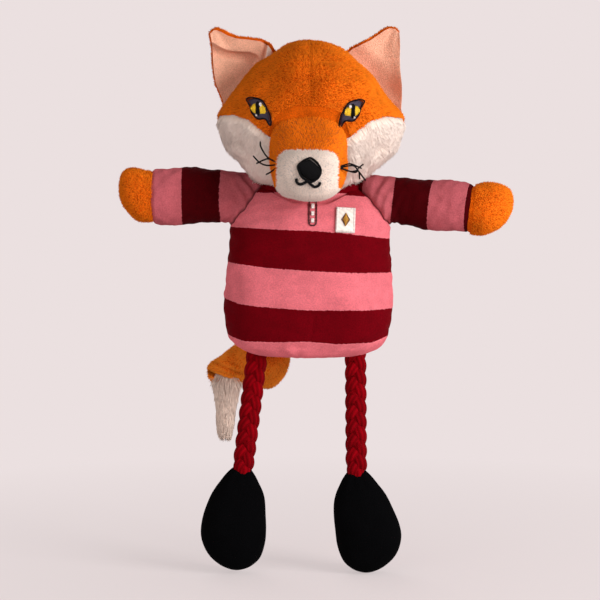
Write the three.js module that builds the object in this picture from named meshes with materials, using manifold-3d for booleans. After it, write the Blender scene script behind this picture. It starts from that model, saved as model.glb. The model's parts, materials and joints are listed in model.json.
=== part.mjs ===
// A plush fox: striped jersey body, sewn head, arms, braided rope legs, stuffed feet and a brush tail.
// Millimetres, +Z up. The fox looks along -Y, and its own left side is at +X.

import * as THREE from 'three'
import { mergeVertices } from 'three/addons/utils/BufferGeometryUtils.js'
import Module from 'manifold-3d'

const wasm = await Module()
wasm.setup()

// Clearances and cloth thicknesses
const gap = 0.3
const socketGap = 0.8
const plush = 2
const thread = 1
const feltPatch = 1
const overrun = 5

// Pose of the toy as it is held up, in degrees
const torsoRollAngle = 1
const headRollAngle = 0.8
const armDroopAngle = { left: 5.4, right: 1 }
const armForwardAngle = { left: 4, right: 23 }
const legLeanAngle = { left: 0.5, right: 7.2 }
const footLeanAngle = { left: 4.4, right: 4.6 }

// Body: rows hold a section's height, width and depth as shares
const torsoHeight = 123.5
const torsoWidth = 123
const torsoDepth = 68
const torsoFullness = 2.4
const torsoShares = [
  [0, 0.68, 0.65],
  [0.025, 0.78, 0.74],
  [0.057, 0.88, 0.82],
  [0.13, 0.96, 0.91],
  [0.22, 0.99, 0.97],
  [0.33, 1, 1],
  [0.5, 0.975, 1],
  [0.66, 0.943, 0.97],
  [0.76, 0.935, 0.91],
  [0.85, 0.89, 0.82],
  [0.91, 0.81, 0.68],
  [0.96, 0.73, 0.53],
  [1, 0.65, 0.35],
]

// Neck: the head sits in a bowl at the top of the body, on a stuffed ball
const bowlDepth = 11
const nodRise = 4
const neckBall = 14
const neckStem = 8.5
const neckFoot = 16
const neckFootThickness = 1.9
const bowlFloor = 25
const bowlFlareAngle = 28.3

// Head, measured up from its underside
const headHeight = 111.5
const headWidth = 140
const headDepth = 93
const headFullness = 2.2
const headDrop = 8
const headForward = 4
const headShift = -2
const headSeam = 2
const headShares = [
  [0, 0.31, 0.39],
  [0.05, 0.38, 0.47],
  [0.1, 0.53, 0.6],
  [0.17, 0.69, 0.73],
  [0.25, 0.82, 0.84],
  [0.33, 0.93, 0.92],
  [0.41, 0.985, 0.98],
  [0.49, 1, 1],
  [0.56, 0.92, 0.99],
  [0.66, 0.79, 0.94],
  [0.77, 0.66, 0.84],
  [0.86, 0.52, 0.69],
  [0.94, 0.36, 0.47],
  [0.985, 0.19, 0.24],
  [1, 0, 0],
]

// Cheeks: their upper edge falls from the side of the head to the muzzle
const cheekSideShare = 0.511
const cheekInnerShare = 0.341
const cheekInnerXShare = 0.386
const cheekMiddleShare = 0.269

// Muzzle: rows hold the distance forward, the half width, and the bottom and top heights
const muzzleReach = 76
const muzzleWidth = 56
const muzzleHeight = 60
const muzzleFullness = 2.7
const muzzleShares = [
  [0.36, 1, 0, 1],
  [0.6, 1, -0.06, 0.93],
  [0.7, 0.98, -0.09, 0.84],
  [0.8, 0.91, -0.1, 0.7],
  [0.895, 0.8, -0.1, 0.54],
  [0.96, 0.62, -0.05, 0.45],
  [0.99, 0.34, 0.05, 0.34],
  [1, 0, 0.2, 0.2],
]
const muzzleFrontFrom = 66

// Nose and mouth on the muzzle
const noseWidth = 16
const noseHeight = 16.7
const noseX = 1
const noseZ = 16.5
const noseShares = [
  [0.07, 0.5],
  [0.46, 0.16],
  [0.4, -0.32],
  [-0.06, -0.5],
  [-0.4, -0.28],
  [-0.48, 0.18],
]
const mouthWidth = 17
const mouthHeight = 5.5
const mouthZ = 4.5
const mouthThread = 1.2
const mouthShares = [
  [-0.5, 0.5],
  [-0.42, -0.1],
  [-0.2, -0.3],
  [0, 0],
  [0.2, -0.5],
  [0.42, -0.4],
  [0.5, 0.4],
]

// Eyes: an almond along a slanted line, in shares of its length
const eyeXShare = 0.464
const eyeShift = -2
const eyeZShare = 0.511
const eyeLength = 25.5
const eyeSlantAngle = 52
const eyeShares = [
  [-0.5, 0],
  [-0.15, 0.2],
  [0.21, 0.24],
  [0.5, 0],
  [0.22, -0.12],
  [-0.19, -0.12],
]
const irisRadius = 4.8
const irisAlong = 1.7
const irisAcross = 1.1
const irisInsetShare = 0.86
const pupilWidth = 3
const pupilHeight = 7

// Ears: a base along the head's slope and a tip
const earBase = 52
const earHeight = 41
const earTipOffset = 10
const earTipWidth = 5
const earThickness = 4
const earEdge = 1.6
const earLining = 1.4
const earRimShare = 0.16
const liningTopShare = 0.74
const earCup = 6
const earRoot = 7
const earXShare = 0.674
const earY = 2
const earZShare = 0.744
const earSlantAngle = 43.6
const earFoldAngles = [-12, 0, 12, 24]

// Whiskers: strands of thread from one knot on each side of the muzzle
const whiskerXShare = 0.85
const whiskerY = 66.5
const whiskerZ = 19
const whiskerThread = 0.9
const whiskerKnot = 1.6
const whiskerReach = 14
const whiskerShares = [
  [[0.4, 0.3], [0.8, 0.85], [0.86, 1.2]],
  [[0.45, -0.1], [0.9, 0.05], [1.3, 0.45]],
  [[0.3, -0.3], [0.7, -0.62]],
]

// Arms: rows hold the distance from the shoulder, the height and the depth
const shoulderShare = 0.943
const shoulderY = 3
const shoulderDrop = 7
const shoulderBall = 17
const armThickness = 39
const armDepth = 34
const armFullness = 2.3
const sleeveLength = 59
const pawLength = 30
const sleeveShares = [
  [0, 0.87, 1],
  [0.2, 0.95, 0.97],
  [0.45, 1, 1],
  [0.78, 1, 1],
  [1, 0.96, 0.97],
]
const pawShares = [
  [0, 0.96, 0.97],
  [0.4, 1, 0.97],
  [0.68, 0.86, 0.84],
  [0.87, 0.58, 0.58],
  [0.97, 0.28, 0.28],
  [1, 0, 0],
]
const shoulderSwingAngles = [-30, -24, -18, -12, -6, 12, 24, 35]

// Rope legs, jointed where the rope bends most
const ropeDiameter = 16
const hipX = 36
const thighLength = 37
const shinLength = 37
const kneeTrim = 4.2
const ankleTrim = 2.9

// Feet: rows hold the distance below the ankle, the width and the depth
const footLength = 76
const footWidth = 49
const footDepth = 34
const footFullness = 2.1
const footShares = [
  [0.038, 0.35, 0.48],
  [0.12, 0.44, 0.56],
  [0.26, 0.68, 0.74],
  [0.42, 0.9, 0.92],
  [0.58, 1, 1],
  [0.74, 0.94, 0.95],
  [0.88, 0.7, 0.74],
  [0.97, 0.36, 0.4],
  [1, 0, 0],
]

// Tail: a flat brush on a short root behind the body, and a tip that hangs from its far end
const tailX = -26
const tailY = 30
const tailHeight = 10
const tailBall = 9
const rootX = -5
const brushStart = [10, 18, -8]
const brushEnd = [-48, 17, -17]
const brushHeight = 44
const brushDepth = 19
const brushFullness = 2
const brushShares = [
  [0, 0.3, 0.4],
  [0.06, 0.6, 0.7],
  [0.2, 0.9, 0.95],
  [0.4, 1, 1],
  [0.62, 0.94, 0.98],
  [0.82, 0.66, 0.8],
  [0.94, 0.36, 0.5],
  [1, 0, 0],
]
const tipStart = [-34, 16, -18]
const tipEnd = [-32, 14, -71]
const tipWidth = 23
const tipDepth = 17
const tipShares = [
  [0, 0.9, 0.9],
  [0.3, 1, 1],
  [0.6, 0.86, 0.9],
  [0.85, 0.7, 0.74],
  [0.97, 0.5, 0.5],
  [1, 0, 0],
]
const tailSwingAngles = [-25, -17, -8, 8, 17, 25]

// Chest: placket line, button stitches and the cloth patch
const placketWidth = 5.8
const placketDrop = 13.5
const placketLength = 14
const placketThread = 1.2
const placketBendShares = [
  [-1, 1],
  [-0.7, 0.3],
  [0, 0],
  [0.7, 0.3],
  [1, 1],
]
const buttonWidth = 1.5
const buttonHeight = 3.4
const buttonDrops = { one: 15.5, two: 20.3, three: 24.9 }
const patchWidth = 13.6
const patchHeight = 17.8
const patchX = 24
const patchDrop = 24
const patchRollAngle = 2
const motifWidth = 5.6
const motifHeight = 9

// Fineness of the meshes
const outerAround = 26
const innerAround = 18
const limbAround = 16
const headRows = 14
const torsoRows = 13
const innerRows = 9
const limbRows = 6
const pawRows = 7
const brushRows = 9
const footRows = 10
const ballRows = 4
const socketAround = 20
const ropeAround = 14
const earColumns = 8
const earRows = 6
const outlineSteps = 20
const circleSteps = 10
const eyeSteps = 24
const strandSteps = 7
const strandAround = 6
const knotAround = 8

const up = new THREE.Vector3(0, 0, 1)
const depthAxis = new THREE.Vector3(0, 1, 0)
const sides = [
  { name: 'left', sign: 1 },
  { name: 'right', sign: -1 },
]

function radians(angle) {
  return THREE.MathUtils.degToRad(angle)
}

// Solids: meshes with shared vertices, which can be joined and cut

function solidWith(coordinates, triangles) {
  const vertProperties = new Float32Array(coordinates)
  const triVerts = new Uint32Array(triangles)
  return new wasm.Manifold(new wasm.Mesh({ numProp: 3, vertProperties, triVerts }))
}

function solidFrom(points, triangles) {
  return solidWith(points.flatMap((point) => point.toArray()), triangles)
}

function solidOf(geometry) {
  geometry.deleteAttribute('normal')
  geometry.deleteAttribute('uv')
  const merged = mergeVertices(geometry)
  return solidWith(merged.attributes.position.array, merged.index.array)
}

// A closed solid over rings of points, all with one count and turning the same way about the travel.
// Both ends close onto a middle point: the ring's own centre, or the tip that is given.
function loft(rings, startTip, endTip) {
  const around = rings[0].length
  const points = rings.flat()
  const triangles = []
  for (let row = 0; row + 1 < rings.length; row++) {
    for (let step = 0; step < around; step++) {
      const next = (step + 1) % around
      const a = row * around + step
      const b = row * around + next
      triangles.push(a, b, b + around, a, b + around, a + around)
    }
  }
  const first = points.push(startTip ?? centreOf(rings[0])) - 1
  const last = points.push(endTip ?? centreOf(rings.at(-1))) - 1
  const lastRow = (rings.length - 1) * around
  for (let step = 0; step < around; step++) {
    const next = (step + 1) % around
    triangles.push(first, next, step, last, lastRow + step, lastRow + next)
  }
  return solidFrom(points, triangles)
}

function centreOf(ring) {
  const sum = new THREE.Vector3()
  ring.forEach((point) => sum.add(point))
  return sum.divideScalar(ring.length)
}

// One ring: a superellipse of two half sizes about a centre, in the plane of two axes
function ring(halfA, halfB, fullness, around, centre, axisA, axisB) {
  return Array.from({ length: around }, (_, step) => {
    const angle = (step / around) * 2 * Math.PI
    const a = Math.cos(angle)
    const b = Math.sin(angle)
    const reach = (Math.abs(a) ** fullness + Math.abs(b) ** fullness) ** (-1 / fullness)
    return centre.clone().addScaledVector(axisA, halfA * reach * a).addScaledVector(axisB, halfB * reach * b)
  })
}

// The smooth run of sections through rows of shares: x and y are half sizes, z the distance along
function profileThrough(shares, width, depth, length) {
  const rows = shares.map(([along, wide, deep]) => {
    return new THREE.Vector3((wide * width) / 2, (deep * depth) / 2, along * length)
  })
  return new THREE.CatmullRomCurve3(rows, false, 'centripetal')
}

// A form standing on +Z, made of the sections of a profile and drawn in on all sides by an inset
function standing(profile, length, inset, rows, around, fullness, closesToPoint) {
  const shrink = (length - 2 * inset) / length
  const sections = Array.from({ length: rows + 1 }, (_, row) => profile.getPointAt(row / rows))
  const tip = closesToPoint ? new THREE.Vector3(0, 0, inset + sections.pop().z * shrink) : undefined
  const rings = sections.map(({ x, y, z }) => {
    const centre = new THREE.Vector3(0, 0, inset + z * shrink)
    return ring(x - inset, y - inset, fullness, around, centre, new THREE.Vector3(1, 0, 0), depthAxis)
  })
  return loft(rings, undefined, tip)
}

// A limb along +Z: it starts as a ball about the origin and goes on through the sections of a profile
function limb(ballRadius, profile, rows, fullness, closesToPoint) {
  const across = new THREE.Vector3(1, 0, 0)
  const rings = []
  for (let row = 1; row < ballRows; row++) {
    const angle = ((row / ballRows) * Math.PI) / 2
    const centre = new THREE.Vector3(0, 0, -ballRadius * Math.cos(angle))
    const radius = ballRadius * Math.sin(angle)
    rings.push(ring(radius, radius, 2, limbAround, centre, across, depthAxis))
  }
  const sections = Array.from({ length: rows + 1 }, (_, row) => profile.getPointAt(row / rows))
  const tip = closesToPoint ? new THREE.Vector3(0, 0, sections.pop().z) : undefined
  sections.forEach(({ x, y, z }) => {
    rings.push(ring(x, y, fullness, limbAround, new THREE.Vector3(0, 0, z), across, depthAxis))
  })
  return loft(rings, new THREE.Vector3(0, 0, -ballRadius), tip)
}

function ball(radius, segments) {
  return solidOf(new THREE.SphereGeometry(radius, segments, Math.round(segments / 2)))
}

// The hollow that a ball turns in, wide enough that its flats stay clear of the ball
function socket(radius, narrowed = 0) {
  return ball(radius + socketGap - narrowed, socketAround)
}

// A cone or cylinder along +Z from one height to another
function frustum(startRadius, endRadius, from, to, around) {
  const across = new THREE.Vector3(1, 0, 0)
  const ends = [[startRadius, from], [endRadius, to]]
  const rings = ends.map(([radius, z]) => {
    return ring(radius, radius, 2, around, new THREE.Vector3(0, 0, z), across, depthAxis)
  })
  return loft(rings)
}

// An outline in X and Z, carried along Y from one depth to another
function prism(shape, from, to) {
  const settings = { depth: to - from, bevelEnabled: false, curveSegments: circleSteps }
  const geometry = new THREE.ExtrudeGeometry(shape, settings)
  return solidOf(geometry).rotate([90, 0, 0]).translate([0, to, 0])
}

function polygon(points) {
  return new THREE.Shape(points.map(([x, z]) => new THREE.Vector2(x, z)))
}

function roundOutline(points, steps) {
  const curve = new THREE.CatmullRomCurve3(points.map(([x, z]) => new THREE.Vector3(x, z, 0)), true)
  return new THREE.Shape(curve.getPoints(steps).slice(0, steps).map(({ x, y }) => new THREE.Vector2(x, y)))
}

// A band of even width along an open line in X and Z
function band(points, width, steps) {
  const curve = new THREE.CatmullRomCurve3(points.map(([x, z]) => new THREE.Vector3(x, z, 0)))
  const centres = curve.getSpacedPoints(steps)
  const normals = centres.map((_, step) => curve.getTangentAt(step / steps).cross(up))
  const offsets = normals.map((normal) => normal.multiplyScalar(width / 2))
  const near = centres.map((centre, step) => centre.clone().add(offsets[step]))
  const far = centres.map((centre, step) => centre.clone().sub(offsets[step])).reverse()
  return new THREE.Shape([...near, ...far].map(({ x, y }) => new THREE.Vector2(x, y)))
}

function moved(solid, from, to) {
  const matrix = to.matrixWorld.clone().invert().multiply(from.matrixWorld)
  return solid.transform(matrix.elements)
}

// Cuts from a solid what it would share with a fixed one as it turns about an axis through its own origin
function freeToTurn(solid, frame, fixed, fixedFrame, axis, angles) {
  const pivot = new THREE.Vector3().setFromMatrixPosition(frame.matrixWorld)
  return [0, ...angles].reduce((left, angle) => {
    const turn = new THREE.Matrix4().makeTranslation(pivot)
    turn.multiply(new THREE.Matrix4().makeRotationAxis(axis, radians(angle)))
    turn.multiply(new THREE.Matrix4().makeTranslation(pivot.clone().negate()))
    const inTurned = turn.multiply(frame.matrixWorld).invert().multiply(fixedFrame.matrixWorld)
    return left.subtract(fixed.transform(inTurned.elements))
  }, solid)
}

function cloth(color, roughness = 0.95) {
  return new THREE.MeshStandardMaterial({ color, roughness, metalness: 0 })
}

function addPiece(frame, name, solid, material) {
  const made = solid.getMesh()
  const geometry = new THREE.BufferGeometry()
  geometry.setAttribute('position', new THREE.BufferAttribute(made.vertProperties, made.numProp))
  geometry.setIndex(new THREE.BufferAttribute(made.triVerts, 1))
  geometry.computeVertexNormals()
  const mesh = new THREE.Mesh(geometry, material)
  mesh.name = name
  frame.add(mesh)
}

// Colours
const orangePlush = () => cloth('#e06a14')
const whitePile = () => cloth('#e9ddd6')
const pinkVelour = () => cloth('#e57a80')
const maroonThread = () => cloth('#5a0008', 0.7)
const whiteThread = () => cloth('#f6ece6', 0.7)
const blackThread = () => cloth('#101014', 0.5)
const redRope = () => cloth('#9a0a14', 0.85)
const blackVelour = () => cloth('#0b0b0c')
const peachPlush = () => cloth('#edae9c')
const stuffing = () => cloth('#f2efe8')

// Frames: a group at each place where a part of the toy turns

const fox = new THREE.Group()
const toy = new THREE.Group()
fox.add(toy)

const torso = new THREE.Group()
torso.rotation.y = radians(torsoRollAngle)
toy.add(torso)

function childFrame(parent, name, position, rotation = [0, 0, 0]) {
  const frame = new THREE.Group()
  frame.name = name
  frame.rotation.order = 'ZYX'
  frame.position.set(...position)
  frame.rotation.set(...rotation.map(radians))
  parent.add(frame)
  return frame
}

const neckHeight = torsoHeight - bowlDepth
const nodHeight = torsoHeight + nodRise
const shoulderX = (shoulderShare * torsoWidth) / 2
const shoulderHeight = torsoHeight - shoulderDrop
const neck = childFrame(torso, 'neck_frame', [0, 0, nodHeight])
const head = childFrame(neck, 'head_frame', [headShift, 0, 0], [0, headRollAngle - torsoRollAngle, 0])
const tail = childFrame(torso, 'tail_frame', [tailX, tailY, tailHeight])
const ears = {}
const arms = {}
const thighs = {}
const shins = {}
const feet = {}
const ropeRadius = ropeDiameter / 2
for (const { name, sign } of sides) {
  const earPlace = [(sign * earXShare * headWidth) / 2, earY, earZShare * headHeight - headDrop]
  ears[name] = childFrame(head, `ear_${name}_frame`, earPlace, [0, sign * earSlantAngle, 0])
  const armPlace = [sign * shoulderX, shoulderY, shoulderHeight]
  const armTurn = [0, sign * (90 + armDroopAngle[name]), -sign * armForwardAngle[name]]
  arms[name] = childFrame(torso, `arm_${name}_frame`, armPlace, armTurn)
  const hipPlace = [sign * hipX, 0, -ropeRadius - gap]
  const hipTurn = [0, -sign * legLeanAngle[name] - torsoRollAngle, 0]
  thighs[name] = childFrame(torso, `thigh_${name}_frame`, hipPlace, hipTurn)
  shins[name] = childFrame(thighs[name], `shin_${name}_frame`, [0, 0, -thighLength])
  const footTurn = [0, sign * (legLeanAngle[name] - footLeanAngle[name]), 0]
  feet[name] = childFrame(shins[name], `foot_${name}_frame`, [0, 0, -shinLength], footTurn)
}
fox.updateMatrixWorld(true)

// Body: two jersey panels and a flat gusset round a stuffed core

const torsoProfile = profileThrough(torsoShares, torsoWidth, torsoDepth, torsoHeight)

function torsoForm(inset, rows = torsoRows, around = outerAround) {
  return standing(torsoProfile, torsoHeight, inset, rows, around, torsoFullness, false)
}

const bowlTop = torsoHeight + overrun
const bowlRim = bowlFloor + (bowlTop - neckHeight) * Math.tan(radians(bowlFlareAngle))
const neckBowl = frustum(bowlFloor, bowlRim, neckHeight, bowlTop, outerAround)

function cutHollows(solid, narrowed = 0) {
  const shoulders = sides.map(({ name }) => moved(socket(shoulderBall, narrowed), arms[name], torso))
  const hollows = [...shoulders, moved(socket(tailBall, narrowed), tail, torso), neckBowl]
  return hollows.reduce((left, hollow) => left.subtract(hollow), solid)
}

const torsoOuter = torsoForm(0)
const jersey = cutHollows(torsoOuter.subtract(torsoForm(plush, innerRows, innerAround)))
const jerseyAboveBase = jersey.trimByPlane([0, 0, 1], plush + gap)
addPiece(torso, 'jersey_front', jerseyAboveBase.trimByPlane([0, -1, 0], gap / 2), pinkVelour())
addPiece(torso, 'jersey_back', jerseyAboveBase.trimByPlane([0, 1, 0], gap / 2), pinkVelour())
addPiece(torso, 'jersey_base', torsoOuter.trimByPlane([0, 0, -1], -plush), pinkVelour())
const torsoCore = cutHollows(torsoForm(plush + gap, innerRows, innerAround))
addPiece(torso, 'torso_stuffing', torsoCore, stuffing())

// What is sewn on the chest follows the jersey's surface

function chestLayer(from, to, shape) {
  const layer = torsoForm(-to).subtract(torsoForm(-from))
  return layer.intersect(prism(shape, -torsoDepth, 0))
}

const placketHalf = (placketWidth - placketThread) / 2
const placketTop = torsoHeight - placketDrop
const placketBottom = placketTop - placketLength
const placketBend = placketBendShares.map(([x, z]) => [x * placketHalf, placketBottom + z * placketHalf])
const placketLine = [[-placketHalf, placketTop], ...placketBend, [placketHalf, placketTop]]
const placketShape = band(placketLine, placketThread, outlineSteps)
addPiece(torso, 'placket_stitching', chestLayer(gap, gap + thread, placketShape), maroonThread())

function block(x, z, width, height) {
  return polygon([
    [x - width / 2, z - height / 2],
    [x + width / 2, z - height / 2],
    [x + width / 2, z + height / 2],
    [x - width / 2, z + height / 2],
  ])
}

Object.values(buttonDrops).forEach((drop, index) => {
  const stitch = chestLayer(gap, gap + thread, block(0, torsoHeight - drop, buttonWidth, buttonHeight))
  addPiece(torso, `placket_button_${index + 1}`, stitch, whiteThread())
})

function turnedAbout(points, x, z, angle) {
  const cos = Math.cos(radians(angle))
  const sin = Math.sin(radians(angle))
  return points.map(([a, b]) => [x + a * cos + b * sin, z - a * sin + b * cos])
}

const patchCorners = [
  [-patchWidth / 2, -patchHeight / 2],
  [patchWidth / 2, -patchHeight / 2],
  [patchWidth / 2, patchHeight / 2],
  [-patchWidth / 2, patchHeight / 2],
]
const patchZ = torsoHeight - patchDrop
const patchShape = polygon(turnedAbout(patchCorners, patchX, patchZ, patchRollAngle))
addPiece(torso, 'badge_patch', chestLayer(gap, gap + feltPatch, patchShape), whiteThread())
const motifCorners = [
  [0, -motifHeight / 2],
  [motifWidth / 2, 0],
  [0, motifHeight / 2],
  [-motifWidth / 2, 0],
]
const motifShape = polygon(turnedAbout(motifCorners, patchX, patchZ, patchRollAngle))
const motifFrom = gap + feltPatch + gap
addPiece(torso, 'badge_motif', chestLayer(motifFrom, motifFrom + thread, motifShape), cloth('#b9812a', 0.6))

// Neck: a stuffed ball in the head on a short stem, with a flat foot on the body

const neckFootFrom = neckHeight - nodHeight + gap
const neckStemSolid = frustum(neckStem, neckStem, neckFootFrom, 0, innerAround)
const neckFootTo = neckFootFrom + neckFootThickness
const neckFootSolid = frustum(neckFoot, neckFoot, neckFootFrom, neckFootTo, innerAround)
addPiece(neck, 'neck_plug', ball(neckBall, innerAround).add(neckStemSolid).add(neckFootSolid), stuffing())

// Head: a skin in four panels round a stuffed core

const headProfile = profileThrough(headShares, headWidth, headDepth, headHeight)

function headForm(inset, rows = headRows, around = outerAround) {
  const form = standing(headProfile, headHeight, inset, rows, around, headFullness, true)
  return form.translate([0, -headForward, -headDrop])
}

const neckSocket = moved(socket(neckBall), neck, head)
const headSkin = headForm(0).subtract(headForm(plush, innerRows, innerAround)).subtract(neckSocket)
const headCore = headForm(plush + gap, innerRows, innerAround).subtract(neckSocket)
const headFrontSkin = headSkin.trimByPlane([0, -1, 0], -headSeam)

// The line between the orange face and the white cheeks, raised by a lift
function cheekLine(lift) {
  const height = (share) => share * headHeight - headDrop + lift
  return [
    [headWidth, height(cheekSideShare)],
    [headWidth / 2, height(cheekSideShare)],
    [(cheekInnerXShare * headWidth) / 2, height(cheekInnerShare)],
    [0, height(cheekMiddleShare)],
  ]
}

const belowHead = -headDrop - overrun
const leftLine = cheekLine(gap)
const rightLine = leftLine.slice(0, -1).reverse().map(([x, z]) => [-x, z])
const bothCheeks = polygon([[-headWidth, belowHead], [headWidth, belowHead], ...leftLine, ...rightLine])
const faceSkin = headFrontSkin.subtract(prism(bothCheeks, -headDepth, headDepth))
addPiece(head, 'head_front', faceSkin, orangePlush())
addPiece(head, 'head_back', headSkin.trimByPlane([0, 1, 0], headSeam + gap), orangePlush())
for (const { name, sign } of sides) {
  const [outer, ...line] = cheekLine(0)
  line.at(-1)[0] = gap / 2
  const corners = [[gap / 2, belowHead], [headWidth, belowHead], outer, ...line]
  const cheek = polygon(corners.map(([x, z]) => [sign * x, z]))
  addPiece(head, `cheek_${name}`, headFrontSkin.intersect(prism(cheek, -headDepth, headDepth)), whitePile())
}
addPiece(head, 'head_stuffing', headCore, stuffing())

// Muzzle: stuffed, orange over the top and sides, white in front

const muzzleSections = muzzleShares.map(([reach, wide, low, high]) => ({
  reach: reach * muzzleReach,
  half: (wide * muzzleWidth) / 2,
  low: low * muzzleHeight,
  high: high * muzzleHeight,
}))

function muzzleForm(inset) {
  const across = new THREE.Vector3(1, 0, 0)
  const rings = muzzleSections.slice(0, -1).map(({ reach, half, low, high }) => {
    const centre = new THREE.Vector3(0, -reach + inset, (low + high) / 2 - headDrop)
    return ring(half - inset, (high - low) / 2 - inset, muzzleFullness, innerAround, centre, across, up)
  })
  const { reach, low } = muzzleSections.at(-1)
  return loft(rings, undefined, new THREE.Vector3(0, -reach + inset, low - headDrop))
}

const muzzle = muzzleForm(0).subtract(headForm(-gap)).trimByPlane([0, -1, 0], 0)
addPiece(head, 'muzzle_bridge', muzzle.trimByPlane([0, 1, 0], -muzzleFrontFrom + gap), orangePlush())
addPiece(head, 'muzzle_front', muzzle.trimByPlane([0, -1, 0], muzzleFrontFrom), whitePile())

function muzzleLayer(shape) {
  const layer = muzzleForm(-gap - thread).subtract(muzzleForm(-gap))
  return layer.intersect(prism(shape, -muzzleReach - overrun, -muzzleFrontFrom))
}

const nosePoints = noseShares.map(([x, z]) => [noseX + x * noseWidth, noseZ + z * noseHeight - headDrop])
addPiece(head, 'nose', muzzleLayer(roundOutline(nosePoints, outlineSteps)), blackThread())
const mouthPoints = mouthShares.map(([x, z]) => {
  return [noseX + x * mouthWidth, mouthZ + z * mouthHeight - headDrop]
})
const mouthShape = band(mouthPoints, mouthThread, outlineSteps)
addPiece(head, 'mouth_stitching', muzzleLayer(mouthShape), blackThread())

// Eyes: satin stitch in three colours on the face

function faceLayer(cutter) {
  return headForm(-gap - thread).subtract(headForm(-gap)).intersect(cutter)
}

function facePrism(shape, place) {
  return prism(shape, -headDepth, 0).translate(place)
}

function ellipse(halfWidth, halfHeight) {
  const shape = new THREE.Shape()
  shape.absellipse(0, 0, halfWidth, halfHeight, 0, 2 * Math.PI)
  return shape
}

for (const { name, sign } of sides) {
  const cos = Math.cos(radians(eyeSlantAngle))
  const sin = Math.sin(radians(eyeSlantAngle))
  const place = [(sign * eyeXShare * headWidth) / 2 + eyeShift, 0, eyeZShare * headHeight - headDrop]
  const almondPoints = (share) => eyeShares.map(([along, across]) => {
    const a = along * eyeLength * share
    const b = across * eyeLength * share
    return [sign * (a * cos - b * sin), a * sin + b * cos]
  })
  const almondPrism = (share) => facePrism(roundOutline(almondPoints(share), eyeSteps), place)
  const irisPlace = [
    place[0] + sign * (irisAlong * cos - irisAcross * sin),
    0,
    place[2] + irisAlong * sin + irisAcross * cos,
  ]
  const irisCircle = facePrism(ellipse(irisRadius, irisRadius), irisPlace)
  const irisArea = irisCircle.intersect(almondPrism(irisInsetShare))
  const irisHole = facePrism(ellipse(irisRadius + gap, irisRadius + gap), irisPlace)
  const pupilArea = facePrism(ellipse(pupilWidth / 2, pupilHeight / 2), irisPlace)
  const pupilHole = facePrism(ellipse(pupilWidth / 2 + gap, pupilHeight / 2 + gap), irisPlace)
  const almondHole = almondPrism(irisInsetShare + gap / irisRadius)
  const surround = almondPrism(1).subtract(irisHole.intersect(almondHole))
  addPiece(head, `eye_surround_${name}`, faceLayer(surround), cloth('#2a2030', 0.6))
  addPiece(head, `eye_iris_${name}`, faceLayer(irisArea.subtract(pupilHole)), cloth('#e8c01e', 0.6))
  addPiece(head, `eye_pupil_${name}`, faceLayer(pupilArea), blackThread())
}

// Ears: a cupped back and a lining in front of it, inside a rim

// A cupped sheet between its back and front faces, on a grid of places across (-1 to 1) and up (0 to 1)
function earSheet(sign, acrossShare, fromShare, toShare, frontY, backY) {
  const points = []
  for (const offset of [backY, frontY]) {
    for (let row = 0; row <= earRows; row++) {
      const rise = fromShare + ((toShare - fromShare) * row) / earRows
      for (let column = 0; column <= earColumns; column++) {
        const across = acrossShare * ((2 * column) / earColumns - 1)
        const baseX = (across * earBase) / 2
        const tipX = (across * earTipWidth) / 2 - earTipOffset
        const x = baseX + (tipX - baseX) * Math.max(rise, 0)
        const z = rise * earHeight
        const cup = earCup * (1 - across * across) * (1 - Math.max(rise, 0) * Math.max(rise, 0))
        const thin = Math.max(Math.abs(across), rise) ** 4
        points.push(new THREE.Vector3(sign * x, cup + offset(thin), z))
      }
    }
  }
  const width = earColumns + 1
  const sheet = width * (earRows + 1)
  const triangles = []
  const quad = (a, b, c, d) => triangles.push(...(sign > 0 ? [a, b, c, a, c, d] : [a, c, b, a, d, c]))
  for (let row = 0; row < earRows; row++) {
    for (let column = 0; column < earColumns; column++) {
      const a = row * width + column
      quad(a, a + width, a + width + 1, a + 1)
      quad(sheet + a, sheet + a + 1, sheet + a + width + 1, sheet + a + width)
    }
    const left = row * width
    const right = left + earColumns
    quad(left, sheet + left, sheet + left + width, left + width)
    quad(right, right + width, sheet + right + width, sheet + right)
  }
  for (let column = 0; column < earColumns; column++) {
    const top = earRows * width + column
    quad(column, column + 1, sheet + column + 1, sheet + column)
    quad(top, sheet + top, sheet + top + 1, top + 1)
  }
  return solidFrom(points, triangles)
}

for (const { name, sign } of sides) {
  const frame = ears[name]
  const axis = new THREE.Vector3(1, 0, 0).transformDirection(frame.matrixWorld)
  const rootShare = -earRoot / earHeight
  const backFace = (thin) => earThickness / 2 + (earEdge / 2 - earThickness / 2) * thin
  const frontFace = (thin) => -backFace(thin)
  const back = earSheet(sign, 1, rootShare, 1, frontFace, backFace)
  const liningBack = () => frontFace(0) - gap
  const liningFront = () => liningBack() - earLining
  const lining = earSheet(sign, 1 - earRimShare, rootShare, liningTopShare, liningFront, liningBack)
  const fixed = headForm(-gap)
  const free = (solid) => freeToTurn(solid, frame, fixed, head, axis, earFoldAngles)
  addPiece(frame, `ear_back_${name}`, free(back), orangePlush())
  addPiece(frame, `ear_lining_${name}`, free(lining), peachPlush())
}

// Whiskers: bent strands of thread tied at one knot

function strand(points, diameter) {
  const path = new THREE.CatmullRomCurve3(points)
  const section = new THREE.Shape()
  section.absarc(0, 0, diameter / 2, 0, 2 * Math.PI)
  const curveSegments = strandAround / 2
  const settings = { steps: strandSteps, extrudePath: path, curveSegments, bevelEnabled: false }
  return solidOf(new THREE.ExtrudeGeometry(section, settings))
}

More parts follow.
